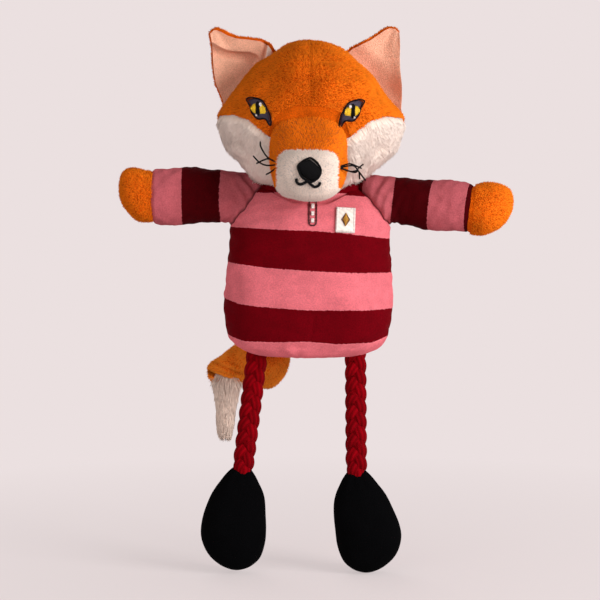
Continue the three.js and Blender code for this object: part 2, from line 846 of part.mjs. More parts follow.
const whiskerX = (whiskerXShare * muzzleWidth) / 2
for (const { name, sign } of sides) {
  const knot = new THREE.Vector3(sign * whiskerX, -whiskerY, whiskerZ - headDrop)
  const strands = whiskerShares.map((shares) => {
    const bends = shares.map(([out, rise]) => {
      const bend = new THREE.Vector3(sign * out * whiskerReach, 0, rise * whiskerReach)
      return bend.add(knot)
    })
    return strand([knot, ...bends], whiskerThread)
  })
  const tie = ball(whiskerKnot, knotAround).translate(knot.toArray())
  const tied = strands.reduce((left, one) => left.add(one), tie)
  addPiece(head, `whiskers_${name}`, tied.subtract(muzzleForm(-gap)), blackThread())
}

// Arms: a sleeve that turns in the body's shoulder hollow, and a paw sewn to its cuff

const sleeveProfile = profileThrough(sleeveShares, armThickness, armDepth, sleeveLength)
const pawProfile = profileThrough(pawShares, armThickness, armDepth, pawLength)
const torsoGrown = cutHollows(torsoForm(-gap), gap)

for (const { name, sign } of sides) {
  const frame = arms[name]
  const sleeve = limb(shoulderBall, sleeveProfile, limbRows, armFullness, false)
  const angles = shoulderSwingAngles.map((angle) => -sign * angle)
  const freeSleeve = freeToTurn(sleeve, frame, torsoGrown, torso, depthAxis, angles)
  addPiece(frame, `sleeve_${name}`, freeSleeve, pinkVelour())
  const paw = standing(pawProfile, pawLength, 0, pawRows, limbAround, armFullness, true)
  addPiece(frame, `paw_${name}`, paw.translate([0, 0, sleeveLength + gap]), orangePlush())
}

// Legs: lengths of thick braided rope, each ending in a cup round the ball of the next

function ropeLength(length, startTrim, endTrim) {
  const ballStart = ball(ropeRadius, ropeAround)
  const run = frustum(ropeRadius, ropeRadius, startTrim, length - endTrim, ropeAround)
  return ballStart.add(run).subtract(socket(ropeRadius).translate([0, 0, length])).rotate([180, 0, 0])
}

const footProfile = profileThrough(footShares, footWidth, footDepth, footLength)

for (const { name } of sides) {
  addPiece(thighs[name], `rope_upper_${name}`, ropeLength(thighLength, 0, kneeTrim), redRope())
  addPiece(shins[name], `rope_lower_${name}`, ropeLength(shinLength, kneeTrim, ankleTrim), redRope())
  const footBody = standing(footProfile, footLength, 0, footRows, limbAround, footFullness, true)
  const foot = ball(ropeRadius, ropeAround).add(footBody).rotate([180, 0, 0])
  addPiece(feet[name], `foot_${name}`, foot, blackVelour())
}

// Tail: the brush is a flat form on a root that turns in the body, and the tip's form is cut to it

// Lays a form that stands on +Z along the line between two places
function between(solid, from, to) {
  const start = new THREE.Vector3(...from)
  const along = new THREE.Vector3(...to).sub(start).normalize()
  const turn = new THREE.Quaternion().setFromUnitVectors(up, along)
  const matrix = new THREE.Matrix4().makeRotationFromQuaternion(turn).setPosition(start)
  return solid.transform(matrix.elements)
}

function distance(from, to) {
  return new THREE.Vector3(...from).distanceTo(new THREE.Vector3(...to))
}

const brushLength = distance(brushStart, brushEnd)
const brushProfile = profileThrough(brushShares, brushHeight, brushDepth, brushLength)

function brushForm(grow) {
  const form = standing(brushProfile, brushLength, -grow, brushRows, limbAround, brushFullness, true)
  return between(form, brushStart, brushEnd)
}

const rootEnd = [rootX, brushStart[1], brushStart[2]]
const rootRun = frustum(tailBall, tailBall, 0, distance([0, 0, 0], rootEnd) - tailBall / 2, limbAround)
const tailRoot = ball(tailBall, limbAround).add(between(rootRun, [0, 0, 0], rootEnd))
const brush = freeToTurn(tailRoot.add(brushForm(0)), tail, torsoGrown, torso, depthAxis, tailSwingAngles)
addPiece(tail, 'tail_brush', brush, orangePlush())
const tipLength = distance(tipStart, tipEnd)
const tipProfile = profileThrough(tipShares, tipWidth, tipDepth, tipLength)
const tipForm = standing(tipProfile, tipLength, 0, limbRows, limbAround, brushFullness, true)
const tip = between(tipForm, tipStart, tipEnd).subtract(brushForm(gap))
addPiece(tail, 'tail_tip', tip, whitePile())

// Stand the toy on z = 0, centred in X and Y
fox.updateMatrixWorld(true)
const box = new THREE.Box3().setFromObject(fox, true)
const middle = box.getCenter(new THREE.Vector3())
toy.position.set(-middle.x, -middle.y, -box.min.z)
fox.updateMatrixWorld(true)

export default fox
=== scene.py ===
# Looks of a plush fox: velour jersey, short and long pile plush, embroidery, braided cotton legs.
# Shapes are worked out in millimetres about the place that carries them, then put in the frame in metres.
import json
import math

import bpy
import numpy as np
from mathutils.bvhtree import BVHTree
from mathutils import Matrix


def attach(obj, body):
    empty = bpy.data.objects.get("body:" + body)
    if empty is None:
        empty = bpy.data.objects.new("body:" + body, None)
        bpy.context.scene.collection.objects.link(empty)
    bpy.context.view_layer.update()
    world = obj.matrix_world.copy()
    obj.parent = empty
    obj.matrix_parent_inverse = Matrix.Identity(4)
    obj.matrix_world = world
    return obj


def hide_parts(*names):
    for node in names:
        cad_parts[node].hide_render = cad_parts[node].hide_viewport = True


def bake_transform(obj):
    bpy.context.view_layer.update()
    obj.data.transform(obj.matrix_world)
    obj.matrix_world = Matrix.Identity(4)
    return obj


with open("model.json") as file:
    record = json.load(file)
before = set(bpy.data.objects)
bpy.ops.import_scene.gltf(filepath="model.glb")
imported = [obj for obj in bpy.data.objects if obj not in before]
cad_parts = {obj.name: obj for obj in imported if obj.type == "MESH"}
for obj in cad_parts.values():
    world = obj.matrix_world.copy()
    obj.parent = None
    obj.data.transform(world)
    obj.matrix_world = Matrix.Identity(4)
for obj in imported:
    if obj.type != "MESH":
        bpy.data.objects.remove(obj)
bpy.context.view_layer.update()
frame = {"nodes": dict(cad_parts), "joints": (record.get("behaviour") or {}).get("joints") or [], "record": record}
joints = {joint["name"]: joint for joint in frame["joints"]}
mounts = {mount["name"]: mount for mount in frame["record"]["mounts"]}
print("frame loaded:", len(frame["nodes"]), "nodes")

mm = 0.001
sides = {"left": 1, "right": -1}


# Vectors and turns

def smooth(low, high, x):
    # 0 up to low, 1 from high on, an S curve between
    t = np.clip((np.asarray(x, float) - low) / (high - low), 0, 1)
    return t * t * (3 - 2 * t)


def bump(x, width):
    # A bell curve: 1 at 0, fading over the width
    return np.exp(-((np.asarray(x, float) / width) ** 2))


def within(x, off, on, stay, gone):
    # 1 from on to stay, fading to 0 at off on the one side and at gone on the other
    return smooth(off, on, x) * smooth(gone, stay, x)


def unit(vectors):
    length = np.linalg.norm(vectors, axis=-1, keepdims=True)
    return vectors / np.maximum(length, 1e-12)


def turnAbout(axis, degrees):
    # Rodrigues' formula: the turn about an axis as a matrix
    x, y, z = unit(np.array(axis, float))
    angle = math.radians(degrees)
    cross = np.array([[0, -z, y], [z, 0, -x], [-y, x, 0]])
    return np.eye(3) + math.sin(angle) * cross + (1 - math.cos(angle)) * cross @ cross


def place(origin, turn):
    # Takes millimetres about a place to metres in the frame
    return lambda points: np.array(origin) + (points @ turn.T) * mm


def waves(points, size, seed, count=9):
    # Soft lumps: the sum of sine waves in random directions, about as long as size, mostly within -1 to 1
    random = np.random.default_rng(seed)
    total = np.zeros(points.shape[:-1])
    for _ in range(count):
        direction = unit(random.normal(size=3))
        length = size * random.uniform(0.7, 1.5)
        total += np.sin(points @ direction * 2 * np.pi / length + random.uniform(0, 2 * np.pi))
    return total / math.sqrt(count)


def lumps(points, kinds):
    # Lumps of stuffing: each kind has a height and a size in millimetres, and a seed
    return sum(height * waves(points, size, seed) for height, size, seed in kinds)


# Profiles and rings

def smoothLine(rows, count=2400):
    # Catmull-Rom through rows of numbers, as a table over the share of the line's length
    rows = np.array(rows, float)
    ends = np.vstack([2 * rows[0] - rows[1], rows, 2 * rows[-1] - rows[-2]])
    t = np.linspace(0, len(rows) - 1, count)
    i = np.minimum(t.astype(int), len(rows) - 2)
    f = (t - i)[:, None]
    a, b, c, d = ends[i], ends[i + 1], ends[i + 2], ends[i + 3]
    squared = (2 * a - 5 * b + 4 * c - d) * f**2 / 2
    cubed = (3 * b - a - 3 * c + d) * f**3 / 2
    line = b + (c - a) * f / 2 + squared + cubed
    share = np.r_[0, np.cumsum(np.linalg.norm(np.diff(line, axis=0), axis=1))]
    return share / share[-1], line


def along(table, v):
    share, line = table
    return [np.interp(v, share, line[:, column]) for column in range(line.shape[1])]


def profile(rows, length, width, depth, inset=0.0, start=0.0):
    # A table of heights, half widths and half depths from rows of shares. The inset leaves room for a pile
    return smoothLine([
        [start + h * length, max(w * width / 2 - inset, 0), max(d * depth / 2 - inset, 0)] for h, w, d in rows
    ])


def whereIs(table, value):
    # The share along the line at which its first column, which only grows, reaches a value
    share, line = table
    return np.interp(value, line[:, 0], share)


def ringAt(u, halfA, halfB, fullness):
    # A superellipse, |a|^n + |b|^n = 1 times its half sizes, at the polar angle u
    a, b = np.cos(u), np.sin(u)
    reach = (np.abs(a) ** fullness + np.abs(b) ** fullness) ** (-1 / fullness)
    return halfA * reach * a, halfB * reach * b


def gridOf(rows, columns, fromU=-np.pi, toU=np.pi, fromV=0.0, toV=1.0, closed=True):
    u = np.linspace(fromU, toU, columns, endpoint=not closed)
    v = np.linspace(fromV, toV, rows)
    return np.meshgrid(u, v)


def normalsOn(surface, u, v, step=2e-3):
    # The unit normals of a surface of two parameters, from its slopes
    v = np.clip(v, 2 * step, 1 - 2 * step)
    slopeU = surface(u + step, v) - surface(u - step, v)
    slopeV = surface(u, v + step) - surface(u, v - step)
    return unit(np.cross(slopeU, slopeV))


# Meshes

def asFloats(values):
    return np.asarray(values, np.float32).ravel()


def meshFrom(name, points, faceSets, isSmooth=True):
    mesh = bpy.data.meshes.new(name)
    corners = np.concatenate([faces.ravel() for faces in faceSets]).astype(np.int32)
    sizes = np.concatenate([np.full(len(faces), faces.shape[1]) for faces in faceSets])
    starts = np.r_[0, np.cumsum(sizes)[:-1]].astype(np.int32)
    mesh.vertices.add(len(points))
    mesh.vertices.foreach_set("co", asFloats(points))
    mesh.loops.add(len(corners))
    mesh.loops.foreach_set("vertex_index", corners)
    mesh.polygons.add(len(starts))
    mesh.polygons.foreach_set("loop_start", starts)
    mesh.polygons.foreach_set("use_smooth", np.full(len(starts), isSmooth))
    mesh.update(calc_edges=True)
    return mesh


def setAttribute(mesh, name, values):
    mesh.attributes.new(name, "FLOAT", "POINT").data.foreach_set("value", asFloats(values))


def gridFaces(rows, columns, closed, start=0):
    # Four-sided faces over a grid of points, facing out where u turns left and v goes on
    r, c = np.meshgrid(np.arange(rows - 1), np.arange(columns if closed else columns - 1), indexing="ij")
    row, nextRow = r * columns, (r + 1) * columns
    after = (c + 1) % columns
    quads = np.stack([row + c, row + after, nextRow + after, nextRow + c], -1)
    return quads.reshape(-1, 4) + start


def ringCaps(rows, columns):
    # Fans that close a stack of rings on two middle points, whose numbers follow the rings' own
    c = np.arange(columns)
    after = (c + 1) % columns
    lastRow = (rows - 1) * columns
    first = np.stack([np.full(columns, rows * columns), after, c], -1)
    last = np.stack([np.full(columns, rows * columns + 1), lastRow + c, lastRow + after], -1)
    return np.vstack([first, last])


def forEach(faceSets, count, size):
    # The faces of one small form, again for each of many that have size points each
    first = (np.arange(count) * size)[:, None, None]
    return [(first + faces).reshape(-1, faces.shape[1]) for faces in faceSets]


def closedForm(name, grid, attributes=None):
    # A form of rings, closed at both ends on a middle point. Attributes have a value for each grid point
    rows, columns = grid.shape[:2]
    poles = np.stack([grid[0].mean(0), grid[-1].mean(0)])
    points = np.vstack([grid.reshape(-1, 3), poles])
    mesh = meshFrom(name, points, [gridFaces(rows, columns, True), ringCaps(rows, columns)])
    for key, values in (attributes or {}).items():
        setAttribute(mesh, key, np.r_[values.ravel(), values[0].mean(), values[-1].mean()])
    return mesh


def shellForm(name, front, back, attributes=None):
    # A panel of cloth: two open grids, the front one facing out, joined round their edges
    rows, columns = front.shape[:2]
    points = np.vstack([front.reshape(-1, 3), back.reshape(-1, 3)])
    size = rows * columns
    r, c = np.arange(rows - 1) * columns, np.arange(columns - 1)
    low = np.stack([c, c + size, c + 1 + size, c + 1], -1)
    top = (rows - 1) * columns + np.stack([c, c + 1, c + 1 + size, c + size], -1)
    left = np.stack([r, r + columns, r + columns + size, r + size], -1)
    right = columns - 1 + np.stack([r, r + size, r + columns + size, r + columns], -1)
    inner = gridFaces(rows, columns, False, size)[:, ::-1]
    mesh = meshFrom(name, points, [gridFaces(rows, columns, False), inner, low, top, left, right])
    for key, values in (attributes or {}).items():
        setAttribute(mesh, key, np.r_[values.ravel(), values.ravel()])
    return mesh


def addPiece(name, mesh, material, body=None, between=None, nodes=(), slot=None, fill=None):
    # between is (one body, the next, start, end) for cloth or rope over a joint. Only whether it is given is read:
    # such a piece stays in the frame, attached to no body
    piece = bpy.data.objects.new(name, mesh)
    bpy.context.scene.collection.objects.link(piece)
    mesh.materials.append(material)
    if nodes:
        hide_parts(*nodes)
    if between:
        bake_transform(piece)
    else:
        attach(piece, body)
    return piece


def addForm(name, put, points, material, attributes=None, **riding):
    # A closed form from a grid of places in millimetres
    return addPiece(name, closedForm(name, put(points), attributes), material, **riding)


# Pile: strands of yarn that stand on a backing. Each piece's dictionary says how many strands its pile has, how
# long and wide they are in millimetres, and how many times they bend. What it leaves out is taken from here

strands = {
    "sunk": 0.25,
    "taper": 0.6,
    "lengths": (0.7, 1.15),
    "lift": 0.1,
    "droop": 0.0,
    "spread": 0.25,
    "softness": 0.75,
    "cells": 90,
    "spare": 1.3,
    "poleGap": 0.004,
}


def scatter(surface, yarn, keep, turns, toV):
    # Places spread evenly over a surface, by trying random ones against the area that each stands for
    random = np.random.default_rng(yarn["seed"])
    count, cells = yarn["count"], yarn["cells"]
    fromU, toU = turns
    fromV = yarn["poleGap"]
    u, v = gridOf(cells, cells, fromU, toU, fromV, toV, closed=False)
    points = surface(u, v)
    area = np.linalg.norm(np.cross(np.gradient(points, axis=1), np.gradient(points, axis=0)), axis=-1)
    tries = int(count * yarn["spare"] / (area.mean() / area.max()))
    tryU = random.uniform(0, 1, tries)
    tryV = random.uniform(0, 1, tries)
    found = area[(tryV * (cells - 0.01)).astype(int), (tryU * (cells - 0.01)).astype(int)]
    kept = random.uniform(0, area.max(), tries) < found
    u = (fromU + (toU - fromU) * tryU)[kept][:count]
    v = (fromV + (toV - fromV) * tryV)[kept][:count]
    points = surface(u, v)
    kept = random.uniform(0, 1, len(u)) < keep(points, u)
    return points[kept], normalsOn(surface, u[kept], v[kept])


def strandFaces(bends):
    # One three-sided spike: four-sided faces between its rings, then those of the tip and the root
    quads = []
    for ring in range(bends - 1):
        for corner in range(3):
            after = (corner + 1) % 3
            quads.append(np.array([corner, after, 3 + after, 3 + corner]) + 3 * ring)
    top = 3 * (bends - 1)
    tips = [[top + corner, top + (corner + 1) % 3, top + 3] for corner in range(3)]
    return [np.array(faces) for faces in (quads, tips + [[0, 2, 1]]) if faces]


def strandMesh(name, put, roots, normals, lie, yarn):
    # Each strand leaves the backing between the normal and the lie of the pile, curves over by droop and
    # narrows to a point
    random = np.random.default_rng(yarn["seed"])
    count, spread = len(roots), yarn["spread"]
    long = yarn["length"] * random.uniform(*yarn["lengths"], (count, 1))
    start = unit(normals + lie + random.normal(0, spread, (count, 3)))
    bend = unit(lie + random.normal(0, spread, (count, 3)) + normals * yarn["lift"]) * yarn["droop"]
    sideA = unit(np.cross(start, random.normal(size=(count, 3))))
    sideB = np.cross(start, sideA)
    foot = roots - normals * yarn["sunk"]
    heights = np.linspace(0, 1, yarn["bends"] + 1)
    rings = []
    for t in heights[:-1]:
        centre = foot + long * (start * t + bend * t * t)
        radius = yarn["width"] / 2 * (1 - t) ** yarn["taper"]
        for corner in range(3):
            angle = corner * 2 * np.pi / 3
            rings.append(centre + radius * (sideA * math.cos(angle) + sideB * math.sin(angle)))
    points = np.stack([*rings, foot + long * (start + bend)], 1)
    perStrand = points.shape[1]
    faceSets = forEach(strandFaces(yarn["bends"]), count, perStrand)
    mesh = meshFrom(name, put(points.reshape(-1, 3)), faceSets)
    rise = np.r_[np.repeat(heights[:-1], 3), 1]
    setAttribute(mesh, "rise", np.tile(rise, count))
    setAttribute(mesh, "strand", np.repeat(random.uniform(0, 1, count), perStrand))
    layStrandMap(mesh, faceSets, rise, perStrand, count)
    softenNormals(mesh, unit(put(normals) - put(np.zeros(3))), perStrand, yarn["softness"])
    return mesh


def softenNormals(mesh, onCloth, perStrand, softness):
    # Shading normals between each strand's own and the cloth's, because fur looks soft
    own = np.empty(len(mesh.vertices) * 3, np.float32)
    mesh.vertex_normals.foreach_get("vector", own)
    soft = np.repeat(onCloth, perStrand, 0) * softness + own.reshape(-1, 3) * (1 - softness)
    mesh.normals_split_custom_set_from_vertices(unit(soft))


def layStrandMap(mesh, faceSets, rise, perStrand, count):
    # A map with a small cell for each strand, so that a texture can hold every strand's own colours
    cells = math.ceil(math.sqrt(count))
    filled, margin = 0.8, 0.1
    maps = []
    for faces in faceSets:
        strand, corner = np.divmod(faces, perStrand)
        x = np.where(corner == perStrand - 1, 0.5, (corner % 3) / 2 * filled + margin)
        y = rise[corner] * filled + margin
        maps.append(np.stack([strand % cells + x, strand // cells + y], -1).reshape(-1, 2) / cells)
    mesh.uv_layers.new(name="OFBake").data.foreach_set("uv", asFloats(np.vstack(maps)))


def addPile(name, put, surface, material, yarn, keep, lie, turns=(-np.pi, np.pi), toV=0.996, **riding):
    # A pile as one mesh. keep gives each place's chance of a strand, lie the way that the pile leans
    yarn = {**strands, **yarn}
    roots, normals = scatter(surface, yarn, keep, turns, toV)
    leaning = lie(roots) if callable(lie) else np.array(lie, float)
    leaning = leaning - (leaning * normals).sum(-1, keepdims=True) * normals
    return addPiece(name, strandMesh(name, put, roots, normals, leaning, yarn), material, **riding)


# Thread: tubes that follow paths on the cloth

def tubeMesh(name, put, paths, outs, radius, corners=6, flatness=1.0, ends=0.35, runFrom=0.0):
    # Paths are (how many, steps, 3) with the cloth's normals beside them. A tube's section is an ellipse that
    # lies flat on the cloth, and its ends narrow
    count, steps = paths.shape[:2]
    forward = unit(np.gradient(paths, axis=1))
    across = unit(np.cross(forward, outs))
    up = np.cross(across, forward)
    angle = np.arange(corners) * 2 * np.pi / corners
    share = np.linspace(0, 1, steps)
    narrow = np.where((share == 0) | (share == 1), ends, 1.0)[None, :, None, None]
    section = across[:, :, None] * np.cos(angle)[:, None] + up[:, :, None] * np.sin(angle)[:, None] * flatness
    rings = paths[:, :, None] + section * radius * narrow
    points = np.concatenate([rings.reshape(count, -1, 3), paths[:, [0, -1]]], 1)
    perTube = steps * corners + 2
    faceSets = forEach([gridFaces(steps, corners, True), ringCaps(steps, corners)], count, perTube)
    mesh = meshFrom(name, put(points.reshape(-1, 3)), faceSets)
    distance = np.linalg.norm(np.diff(paths, axis=1), axis=-1)
    run = np.concatenate([np.zeros((count, 1)), np.cumsum(distance, 1)], 1)
    runs = np.concatenate([np.repeat(run, corners, 1), run[:, :1], run[:, -1:]], 1)
    setAttribute(mesh, "run", runs + runFrom)
    setAttribute(mesh, "turn", np.tile(np.r_[np.tile(angle / (2 * np.pi), steps), 0, 0], count))
    setAttribute(mesh, "thread", np.repeat(np.random.default_rng(count).uniform(0, 1, count), perTube))
    return mesh


def satin(outline, degrees, pitch, inset=0.0):
    # Parallel stitches that fill an outline in two directions: the pairs of points where each line crosses it
    angle = math.radians(degrees)
    turn = np.array([[math.cos(angle), math.sin(angle)], [-math.sin(angle), math.cos(angle)]])
    turned = np.array(outline) @ turn.T
    after = np.roll(turned, -1, 0)
    stitches = []
    for level in np.arange(turned[:, 1].min() + pitch / 2, turned[:, 1].max(), pitch):
        crosses = (turned[:, 1] > level) != (after[:, 1] > level)
        a, b = turned[crosses], after[crosses]
        x = np.sort(a[:, 0] + (level - a[:, 1]) * (b[:, 0] - a[:, 0]) / (b[:, 1] - a[:, 1]))
        for low, high in zip(x[::2], x[1::2]):
            if high - low > 2 * inset + pitch / 2:
                stitches.append([[low + inset, level], [high - inset, level]])
    return np.array(stitches) @ turn


def stitchPaths(stitches, onCloth, lift, steps=7, sunk=0.25):
    # Lays stitches on the cloth: each rises from it, runs over it and goes in again
    share = np.linspace(0, 1, steps)
    way = share[None, :, None]
    flat = stitches[:, None, 0] * (1 - way) + stitches[:, None, 1] * way
    points, outs = onCloth(flat[..., 0], flat[..., 1])
    atEnd = np.abs(share - 0.5) > 0.49
    rise = lift * np.sin(np.pi * np.clip(share, 0.02, 0.98)) ** 0.5 - sunk * atEnd
    return points + outs * rise[None, :, None], outs


def insideOutline(x, z, outline):
    # Even-odd rule: counts the sides of the outline that lie to the right of a place
    inside = np.zeros(np.shape(x), bool)
    for (ax, az), (bx, bz) in zip(outline, np.roll(outline, -1, 0)):
        if az != bz:
            crosses = (az > z) != (bz > z)
            inside ^= crosses & (x < ax + (z - az) * (bx - ax) / (bz - az))
    return inside


def roundPath(points, steps, closed=False):
    # A smooth open or closed line through a few places
    rows = np.array(points, float)
    if closed:
        rows = np.vstack([rows, rows[:1]])
    table = smoothLine(rows)
    return np.stack(along(table, np.linspace(0, 1, steps)), -1)


def ovalOf(halfWidth, halfHeight, x, z, steps=40):
    angle = np.linspace(0, 2 * np.pi, steps, endpoint=False)
    return np.stack([x + halfWidth * np.cos(angle), z + halfHeight * np.sin(angle)], -1)


def addSatin(name, outline, thread, degrees, lift, onCloth, put, pitch=0.72, radius=0.42, **riding):
    # An outline filled with satin stitches
    paths, outs = stitchPaths(satin(outline, degrees, pitch), onCloth, lift)
    return addPiece(name, tubeMesh(name, put, paths, outs, radius, 6, 0.8), thread, **riding)


def addLaidThread(name, lines, thread, lift, radius, onCloth, put, **riding):
    # Threads that lie along lines of x and z on the cloth
    lines = np.array(lines)
    points, outs = onCloth(lines[..., 0], lines[..., 1])
    mesh = tubeMesh(name, put, points + outs * lift, outs, radius, 8, 1.0, 0.5)
    return addPiece(name, mesh, thread, **riding)


def readBetween(table, row, column):
    # A value between the four nearest of a table
    row = np.clip(row, 0, table.shape[0] - 1.001)
    column = np.clip(column, 0, table.shape[1] - 1.001)
    i, j = row.astype(int), column.astype(int)
    f, g = row - i, column - j
    low = table[i, j] * (1 - g) + table[i, j + 1] * g
    high = table[i + 1, j] * (1 - g) + table[i + 1, j + 1] * g
    return low * (1 - f) + high * f


def evenedOut(depth, far):
    # Each cell becomes the mean of the known ones among its neighbours and itself
    rows, columns = depth.shape
    known = (depth < far).astype(float)
    padded, weight = np.pad(depth * known, 1), np.pad(known, 1)
    shifts = [(i, j) for i in range(3) for j in range(3)]
    total = sum(padded[i:i + rows, j:j + columns] for i, j in shifts)
    share = sum(weight[i:i + rows, j:j + columns] for i, j in shifts)
    return np.where(share > 0, total / np.maximum(share, 1), far)


def frontMap(surface, lowX, highX, lowZ, highZ, samples=1000, cell=0.4, rounds=8, far=1e3, **limits):
    # How far forward a surface lies at each x and z: the foremost of many points in each cell, evened out.
    # Gives a function for places on the cloth and the directions out of it
    u, v = gridOf(samples, samples, closed=False, **limits)
    points = surface(u, v).reshape(-1, 3)
    rows, columns = int((highZ - lowZ) / cell) + 1, int((highX - lowX) / cell) + 1
    row = np.round((points[:, 2] - lowZ) / cell).astype(int)
    column = np.round((points[:, 0] - lowX) / cell).astype(int)
    inside = (row >= 0) & (row < rows) & (column >= 0) & (column < columns)
    depth = np.full((rows, columns), far)
    np.minimum.at(depth, (row[inside], column[inside]), points[inside, 1])
    for _ in range(rounds):
        depth = evenedOut(depth, far)
    slopeZ, slopeX = np.gradient(depth, cell)

    def onCloth(x, z):
        forward, tiltX, tiltZ = [
            readBetween(table, (z - lowZ) / cell, (x - lowX) / cell) for table in (depth, slopeX, slopeZ)
        ]
        return np.stack([x, forward, z], -1), unit(np.stack([tiltX, -np.ones_like(x), tiltZ], -1))

    return onCloth


# Materials

def linear(colour):
    # sRGB hex to linear light
    values = [int(colour[i:i + 2], 16) / 255 for i in (1, 3, 5)]
    return [value / 12.92 if value <= 0.04045 else ((value + 0.055) / 1.055) ** 2.4 for value in values] + [1]


def addNode(tree, kind, inputs=None, **settings):
    # Adds a node with its settings, and a value or a link for each input
    node = tree.nodes.new(kind)
    for key, value in settings.items():
        setattr(node, key, value)
    for key, value in (inputs or {}).items():
        if isinstance(value, bpy.types.NodeSocket):
            tree.links.new(value, node.inputs[key])
        else:
            node.inputs[key].default_value = value
    return node


def startMaterial(name, finish):
    material = bpy.data.materials.new(name)
    material.use_nodes = True
    shader = material.node_tree.nodes["Principled BSDF"]
    for key, value in finish.items():
        shader.inputs[key].default_value = value
    return material, material.node_tree, shader


def grain(tree, size, detail=2.0):
    # Noise about as coarse as size in millimetres, in the toy's own coordinates
    inputs = {
        "Vector": addNode(tree, "ShaderNodeTexCoord").outputs["Object"],
        "Scale": 1 / (size * mm),
        "Detail": detail,
    }
    return addNode(tree, "ShaderNodeTexNoise", inputs).outputs[0]

def attribute(tree, name):
    return addNode(tree, "ShaderNodeAttribute", attribute_name=name).outputs["Fac"]


def sums(tree, operation, a, b=0.0, c=0.0):
    return addNode(tree, "ShaderNodeMath", {0: a, 1: b, 2: c}, operation=operation).outputs[0]


def toned(tree, colour, factor, dark, light, low=0.3, high=0.7):
    # Multiplies a colour by dark where the factor is low, by light where it is high
    inputs = {"Value": factor, "From Min": low, "From Max": high, "To Min": dark, "To Max": light}
    level = addNode(tree, "ShaderNodeMapRange", inputs).outputs[0]
    inputs = {0: 1.0, 6: colour, 7: level}
    return addNode(tree, "ShaderNodeMix", inputs, data_type="RGBA", blend_type="MULTIPLY").outputs[2]


def blended(tree, factor, first, second):
    return addNode(tree, "ShaderNodeMix", {0: factor, 6: first, 7: second}, data_type="RGBA").outputs[2]


def dye(tree, shader, colour):
    # The cloth's colour, also for the soft light along its edges
    tree.links.new(colour, shader.inputs["Base Color"])
    tree.links.new(colour, shader.inputs["Sheen Tint"])


def relief(tree, shader, heights):
    # Bumps one on another: pairs of a height from 0 to 1 and its depth in millimetres
    normal = None
    for height, depth in heights:
        inputs = {"Height": height, "Distance": depth * mm, "Strength": 1.0}
        if normal:
            inputs["Normal"] = normal
        normal = addNode(tree, "ShaderNodeBump", inputs).outputs[0]
    tree.links.new(normal, shader.inputs["Normal"])


def stripesFrom(tree, factor, colours):
    # Even bands of colour with crisp edges over 0 to 1
    ramp = addNode(tree, "ShaderNodeValToRGB", {0: factor})
    ramp.color_ramp.interpolation = "CONSTANT"
    stops = ramp.color_ramp.elements
    for index, colour in enumerate(colours):
        stop = stops[index] if index < 2 else stops.new(1)
        stop.position = index / len(colours)
        stop.color = linear(colour)
    return ramp.outputs[0]


# Cotton velour: knitted backing with a cut pile under a millimetre, dull face on, soft light round the edges.
# Sizes are millimetres, tones the darkest and lightest share of the colour, bumps a depth in millimetres
velour = {
    # The sleeves' pink and maroon are darker copies of the body's: painted shade for arms that get less light
    "pink": "#DC6F78", "maroon": "#65000A", "sleevePinkPaintedShade": "#AE555C", "sleeveMaroonPaintedShade": "#3E0004",
    "fraySize": 1.2, "fray": 0.06,
    "foldSize": 18, "napSize": 7, "softTone": (0.93, 1.06),
    "pileSize": 0.9, "pileTone": (0.84, 1.12), "pileBump": 0.3,
    "seamShadeTone": 0.35,
    "knitSize": 3.2, "knitBump": 0.2,
}
velourFinish = {"Roughness": 0.9, "Sheen Weight": 0.25, "Sheen Roughness": 0.4, "Specular IOR Level": 0.04}


def velourMaterial(name, colours, finish=velourFinish):
    # band, an attribute of the piece, counts up the stripes from 0, and crease is 1 along the seam where the
    # sleeve leaves the body, where the colour is darkened as painted shade
    material, tree, shader = startMaterial(name, finish)
    uneven = sums(tree, "SUBTRACT", grain(tree, velour["fraySize"]), 0.5)
    fray = sums(tree, "MULTIPLY", uneven, velour["fray"])
    counted = sums(tree, "DIVIDE", sums(tree, "ADD", attribute(tree, "band"), fray), len(colours))
    colour = stripesFrom(tree, counted, colours) if len(colours) > 1 else linear(colours[0])
    colour = toned(tree, colour, grain(tree, velour["foldSize"]), *velour["softTone"])
    colour = toned(tree, colour, grain(tree, velour["napSize"], 3), *velour["softTone"])
    pile = grain(tree, velour["pileSize"], 2)
    colour = toned(tree, colour, pile, *velour["pileTone"])
    # Painted shade: the colour darkens along the seam where the sleeve meets the body
    colour = toned(tree, colour, attribute(tree, "crease"), 1.0, velour["seamShadeTone"], 0, 1)
    dye(tree, shader, colour)
    relief(tree, shader, [(pile, velour["pileBump"]), (grain(tree, velour["knitSize"]), velour["knitBump"])])
    return material


# Polyester plush: the knitted backing that shows between the strands of the pile
plush = {"patchSize": 9, "light": 1.05, "pileSize": 0.8, "pileDark": 0.9, "pileLight": 1.15, "bump": 0.6}
plushFinish = {"Roughness": 0.95, "Sheen Weight": 0.15, "Sheen Roughness": 0.5, "Specular IOR Level": 0.04}


def plushMaterial(name, hexColour, dark=0.7, paleColour=None):
    # pale, an attribute of the piece, is 1 on a cut edge where the backing shows
    material, tree, shader = startMaterial(name, plushFinish)
    plain = linear(hexColour)
    if paleColour:
        plain = blended(tree, attribute(tree, "pale"), plain, linear(paleColour))
    colour = toned(tree, plain, grain(tree, plush["patchSize"], 3), dark, plush["light"])
    pile = grain(tree, plush["pileSize"], 2)
    dye(tree, shader, toned(tree, colour, pile, dark * plush["pileDark"], plush["pileLight"]))
    relief(tree, shader, [(pile, plush["bump"])])
    return material


# Pile strands: drawn polyester, painted darker at the root as shade where little light comes, and painted lighter
# at the tip as a highlight
strandFinish = {"Roughness": 0.75, "Sheen Weight": 0.12, "Specular IOR Level": 0.06}
strandLook = {"rootShare": 0.6, "patchTone": (0.86, 1.1)}


